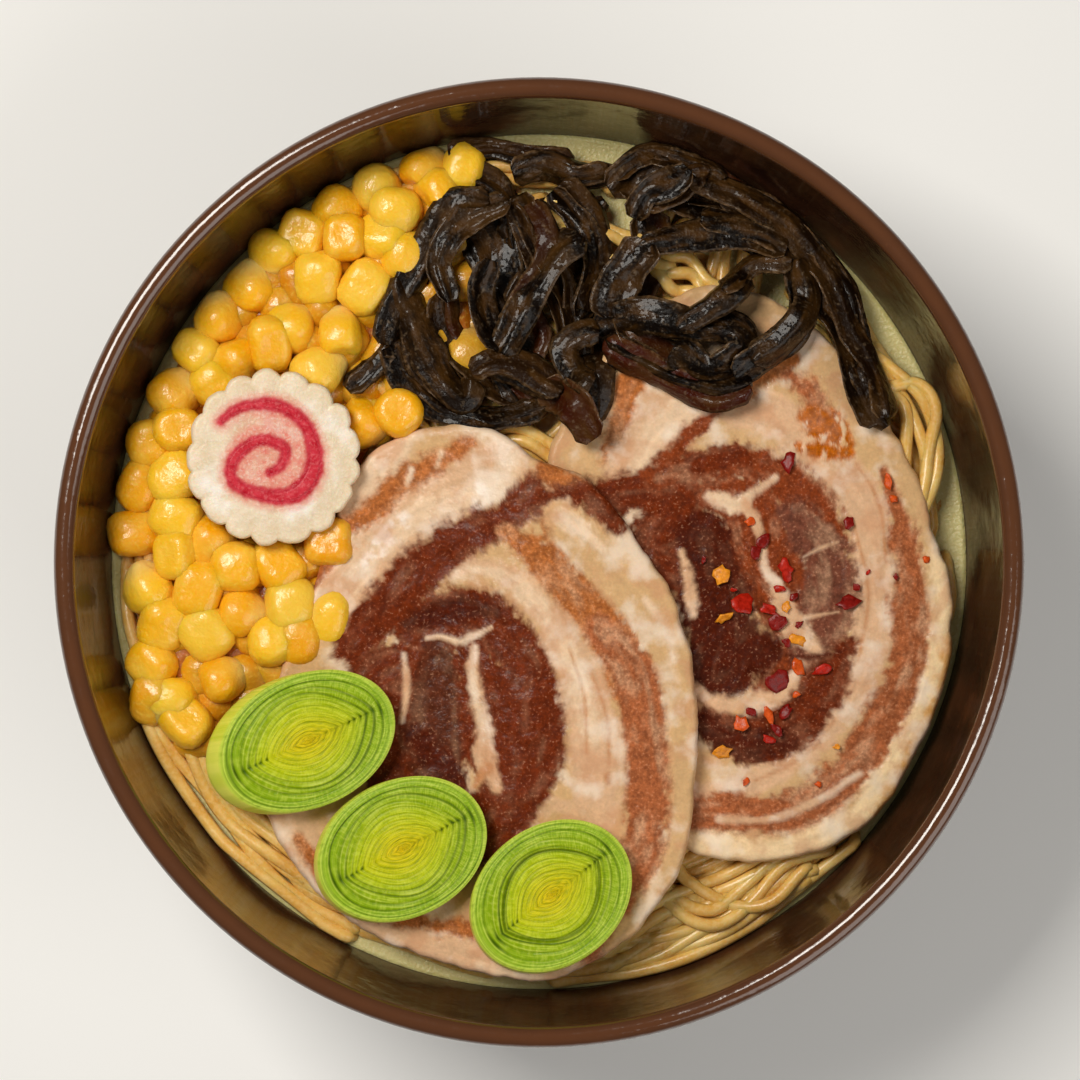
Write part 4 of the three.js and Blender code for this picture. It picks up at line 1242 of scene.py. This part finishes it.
def cake_material():
    s = Shader(
        "fish_paste", specular_ior_level=0.3, coat_weight=0.15, coat_roughness=0.15,
        **translucent(0.3, 0.003),
    )
    mottle = s.noise(4, 4)
    paste = s.ramp(mottle, (0.3, srgb(222, 200, 166)), (0.7, srgb(240, 224, 200)))
    paste = s.mix(s.spread(s.noise(8, 5), 0.52, 0.64, 0, 0.7), paste, srgb(248, 242, 234))
    paste = s.mix(s.spread(s.value("rim"), 0, 1, 0, 0.5), paste, srgb(232, 208, 170))
    blush = s.times(s.value("blush"), s.spread(s.noise(1.5), 0.3, 0.7, 0.6, 1))
    paste = s.mix(blush, paste, srgb(226, 128, 112))
    grain = s.noise(0.6, 3)
    paste = s.mix(s.spread(grain, 0.5, 0.65, 0, 0.3), paste, srgb(250, 238, 220))
    s.drive("Base Color", s.mix(s.value("stain"), paste, pink_tone(s)))
    s.drive("Roughness", s.spread(s.noise(6), 0.4, 0.62, 0.3, 0.55))
    s.drive("Normal", s.bump(grain, 0.25))
    return s.material


def pink_material():
    s = Shader(
        "pink_paste", specular_ior_level=0.2, coat_weight=0.1, coat_roughness=0.2,
        **translucent(0.2, 0.0015),
    )
    grain = s.noise(0.6, 3)
    pink = s.mix(s.spread(grain, 0.5, 0.65, 0, 0.2), pink_tone(s), srgb(244, 150, 150))
    s.drive("Base Color", pink)
    s.drive("Roughness", s.spread(grain, 0.3, 0.7, 0.35, 0.55))
    s.drive("Normal", s.bump(grain, 0.2))
    return s.material


def build_cake_round(band):
    """A scalloped round, stained along the swirl's band and blushing beside it."""
    count, rows = 340, 60
    angle = full_turn(count)
    around = 8 * np.cos(angle), 8 * np.sin(angle)
    lobe = np.abs(np.sin(CAKE_LOBES * (angle + 0.07 * noise(*around, 4, 96)) / 2)) ** 0.6
    outer = CAKE_RADIUS - CAKE_LOBE / 2 + CAKE_LOBE * lobe * (0.85 + 0.4 * noise(*around, 3, 97))
    outer += 0.35 * noise(*around, 2, 93) - 0.25
    share = (np.linspace(0, 1, rows + 1)[1:] ** 0.8)[:, None]
    x, y = outer * share * np.cos(angle), outer * share * np.sin(angle)
    near = np.clip(CAKE_EDGE - outer * (1 - share), 0, CAKE_EDGE)
    z = cake_top(x, y) - (CAKE_EDGE - np.sqrt(CAKE_EDGE**2 - near**2))
    # Shallow folds run in from the valleys between the lobes.
    z -= 0.25 * (1 - lobe) * smooth(share, 0.7, 0.95)
    _, inside, _ = distance_to(band, x, y)
    inside = inside + 0.3 * noise(x, y, 1.4, 94)
    inside_swirl = smooth(np.hypot(x + 0.5, y - 1), 10, 6)
    stain = smooth(inside, -1.1, -0.1)
    blush = np.clip(0.7 * smooth(inside, -2.6, -0.8) + 0.7 * inside_swirl, 0, 1)
    rings = [np.stack([x, y, z], axis=-1)]
    for height, inset in CAKE_WALL:
        radius = outer - inset
        wall = np.stack(
            [radius * np.cos(angle), radius * np.sin(angle), np.full(count, height)], axis=-1,
        )
        rings.append(wall[None])
    below = ((0, len(CAKE_WALL)), (0, 0))
    rim = smooth(share, 0.78, 1) * np.ones(count)
    cake = Skin()
    cake.add(
        placed(np.concatenate(rings), cake_pose()),
        blush=np.pad(blush, below), stain=np.pad(stain, below),
        rim=np.pad(rim, below, constant_values=1),
    )
    cake.piece("fish_cake_round", cake_material(), ["fish_cake"])


def build_cake_swirl(band):
    """A band pressed into the cake's face, a little proud of it along its middle."""
    along = directions(band[:, :2])
    across = np.array([1.0, 0.5, 0.0, -0.5, -1.0, -1.0, 1.0])
    level = np.array([0.0, 1.0, 1.0, 1.0, 0.0, -1.0, -1.0])
    ragged = 1 + 0.16 * noise(0.7 * np.arange(SWIRL_STEPS), 0.0, 3, 95)
    spread = band[:, 2] * ragged
    x = band[:, :1] - along[:, 1:] * across * spread[:, None]
    y = band[:, 1:2] + along[:, :1] * across * spread[:, None]
    lift = np.where(level < 0, 0.2 - cake_top(x, y), 0.08 * level - 0.03)
    rings = placed(np.stack([x, y, cake_top(x, y) + lift], axis=-1), cake_pose())
    swirl = Skin()
    swirl.add(rings[::-1])
    swirl.piece("fish_cake_pink", pink_material(), ["fish_cake_swirl"])


def build_fish_cake():
    band = swirl_band()
    build_cake_round(band)
    build_cake_swirl(band)


# ---- Chilli flakes on the back slice ------------------------------------------------------------
FLAKE_COLOURS = {
    "dark": srgb(124, 10, 0),
    "red": srgb(172, 26, 4),
    "orange": srgb(206, 78, 14),
    "yellow": srgb(224, 138, 28),
}
FLAKE_CORNERS, FLAKE_LIFT = 11, 0.62
FLAKE_PROFILE = [(0.5, 0.3), (0.94, 0.28), (1.0, 0.1), (0.92, -0.1)]  # share and height
# Place and size of each flake.
FLAKES = {
    "dark": [
        (50, 20, 4), (45, 4, 4), (43.5, 2, 3), (62, 8, 3), (71.5, -3, 1.5), (63.5, -5, 2),
        (62, -8, 5), (51, -7, 2), (48, -12, 4), (52, -12.5, 2), (49.5, -16, 2), (48, -24, 5),
        (42.5, -30, 2.5), (49.5, -30, 3.5), (47.5, -33.5, 3), (33, 0.5, 1.5),
    ],
    "red": [
        (49.5, -1.5, 5), (66, -2, 1.5), (48, -5.5, 2.5), (41, -8.5, 5), (46, -9.5, 4),
        (56.5, -21.5, 4), (46, -35.5, 3), (39, -5.5, 1.5),
    ],
    "orange": [
        (70, 16, 3), (71, 12.5, 2), (42.5, 8, 2.5), (77.5, 0.5, 2), (52, -21, 4),
        (51.5, -26.5, 2), (40.5, -32.5, 4), (46, -30.5, 3.5), (41.5, -44, 2), (56, -44.5, 1.5),
        (28, -46.5, 1.5),
    ],
    "yellow": [
        (36.5, -2.5, 4), (37, -11, 3.5), (49.5, -9, 2.5), (52, -15.5, 4), (36.5, -38, 4),
        (59.5, -37, 1.5),
    ],
}


def flake_material():
    s = Shader(
        "chilli", specular_ior_level=0.25, coat_weight=0.05, coat_roughness=0.2,
        **translucent(0.1, 0.001),
    )
    vein = s.noise(0.9, 3)
    shade = s.ramp(vein, (0.3, (0.55, 0.5, 0.5, 1)), (0.7, (1.4, 1.5, 1.6, 1)))
    s.drive("Base Color", s.mix(0.7, s.colour("paint"), shade, "MULTIPLY"))
    s.drive("Roughness", s.spread(vein, 0.3, 0.7, 0.25, 0.5))
    s.drive("Normal", s.bump(vein, 0.12))
    return s.material


def flake(rng, x, y, size):
    """Rings of a ragged, slightly cupped flake that lies on the back slice."""
    angle = full_turn(FLAKE_CORNERS)
    radius = 0.54 * size * rng.uniform(0.6, 1.2, FLAKE_CORNERS)
    narrow = rng.uniform(0.55, 0.9)
    cup = rng.uniform(-0.25, 0.3)
    rows = []
    for share, height in FLAKE_PROFILE:
        r = radius * share
        rows.append(np.column_stack([
            r * np.cos(angle), narrow * r * np.sin(angle),
            height + cup * (r / size) ** 2 * 4 + 0.04 * rng.normal(size=FLAKE_CORNERS),
        ]))
    pose = (Matrix.Translation((x, y, slice_top(x, y) + FLAKE_LIFT))
            @ Matrix.Rotation(rng.normal(0, 0.2), 4, "X")
            @ Matrix.Rotation(rng.normal(0, 0.2), 4, "Y")
            @ Matrix.Rotation(rng.uniform(0, 2 * math.pi), 4, "Z"))
    return placed(np.array(rows), pose)


def build_flakes():
    rng = np.random.default_rng(37)
    flakes = Skin()
    for kind, places in FLAKES.items():
        for x, y, size in places:
            flakes.add(flake(rng, x, y, size), paint=FLAKE_COLOURS[kind])
    flakes.piece("chilli_flakes", flake_material())


# ---- Floor, light and camera --------------------------------------------------------------------
# Metres.
FOOD_LEVEL = 0.065
CAMERA_HEIGHT = 0.8  # above the food
FRAME_WIDTH = 0.216  # what the camera sees across, at the food's level
VIEW_CENTRE = (0.0002, 0.0044)
SENSOR = 36.0
FLOOR_REACH = 3.0


def build_floor():
    s = Shader("pale_floor", roughness=0.7)
    shade = s.ramp(s.noise(300), (0.3, srgb(244, 244, 243)), (0.7, srgb(248, 248, 247)))
    s.drive("Base Color", shade)
    mesh = bpy.data.meshes.new("floor")
    reach = FLOOR_REACH
    corners = [(-reach, -reach, 0), (reach, -reach, 0), (reach, reach, 0), (-reach, reach, 0)]
    mesh.from_pydata(corners, [], [(0, 1, 2, 3)])
    mesh.materials.append(s.material)
    floor = bpy.data.objects.new("floor", mesh)
    bpy.context.collection.objects.link(floor)


def add_light(name, place, size, power, colour):
    light = bpy.data.lights.new(name, "AREA")
    light.shape = "SQUARE"
    light.size = size
    light.energy = power
    light.color = colour
    lamp = bpy.data.objects.new(name, light)
    lamp.location = place
    aim = Vector((0, 0, FOOD_LEVEL)) - lamp.location
    lamp.rotation_euler = aim.to_track_quat("-Z", "Y").to_euler()
    bpy.context.collection.objects.link(lamp)


def build_lighting():
    world = bpy.data.worlds.new("studio")
    world.use_nodes = True
    background = world.node_tree.nodes["Background"].inputs
    background["Color"].default_value = (1, 0.97, 0.92, 1)
    background["Strength"].default_value = 0.1
    bpy.context.scene.world = world
    add_light("key", (-0.35, 0.28, 0.78), 0.35, 6.2, (1, 0.96, 0.89))
    add_light("fill", (0.52, -0.42, 0.6), 0.7, 3.4, (1, 0.97, 0.92))
    bpy.context.scene.view_settings.view_transform = "Standard"


def build_camera():
    """A camera that looks straight down, as the photo does."""
    camera = bpy.data.objects.new("camera", bpy.data.cameras.new("camera"))
    camera.data.sensor_width = SENSOR
    camera.data.lens = SENSOR * CAMERA_HEIGHT / FRAME_WIDTH
    camera.location = (*VIEW_CENTRE, FOOD_LEVEL + CAMERA_HEIGHT)
    bpy.context.collection.objects.link(camera)
    bpy.context.scene.camera = camera


build_bowl()
build_soup()
build_noodles()
build_pork()
build_corn()
build_fungus()
build_leeks()
build_fish_cake()
build_flakes()
build_floor()
build_lighting()
build_camera()
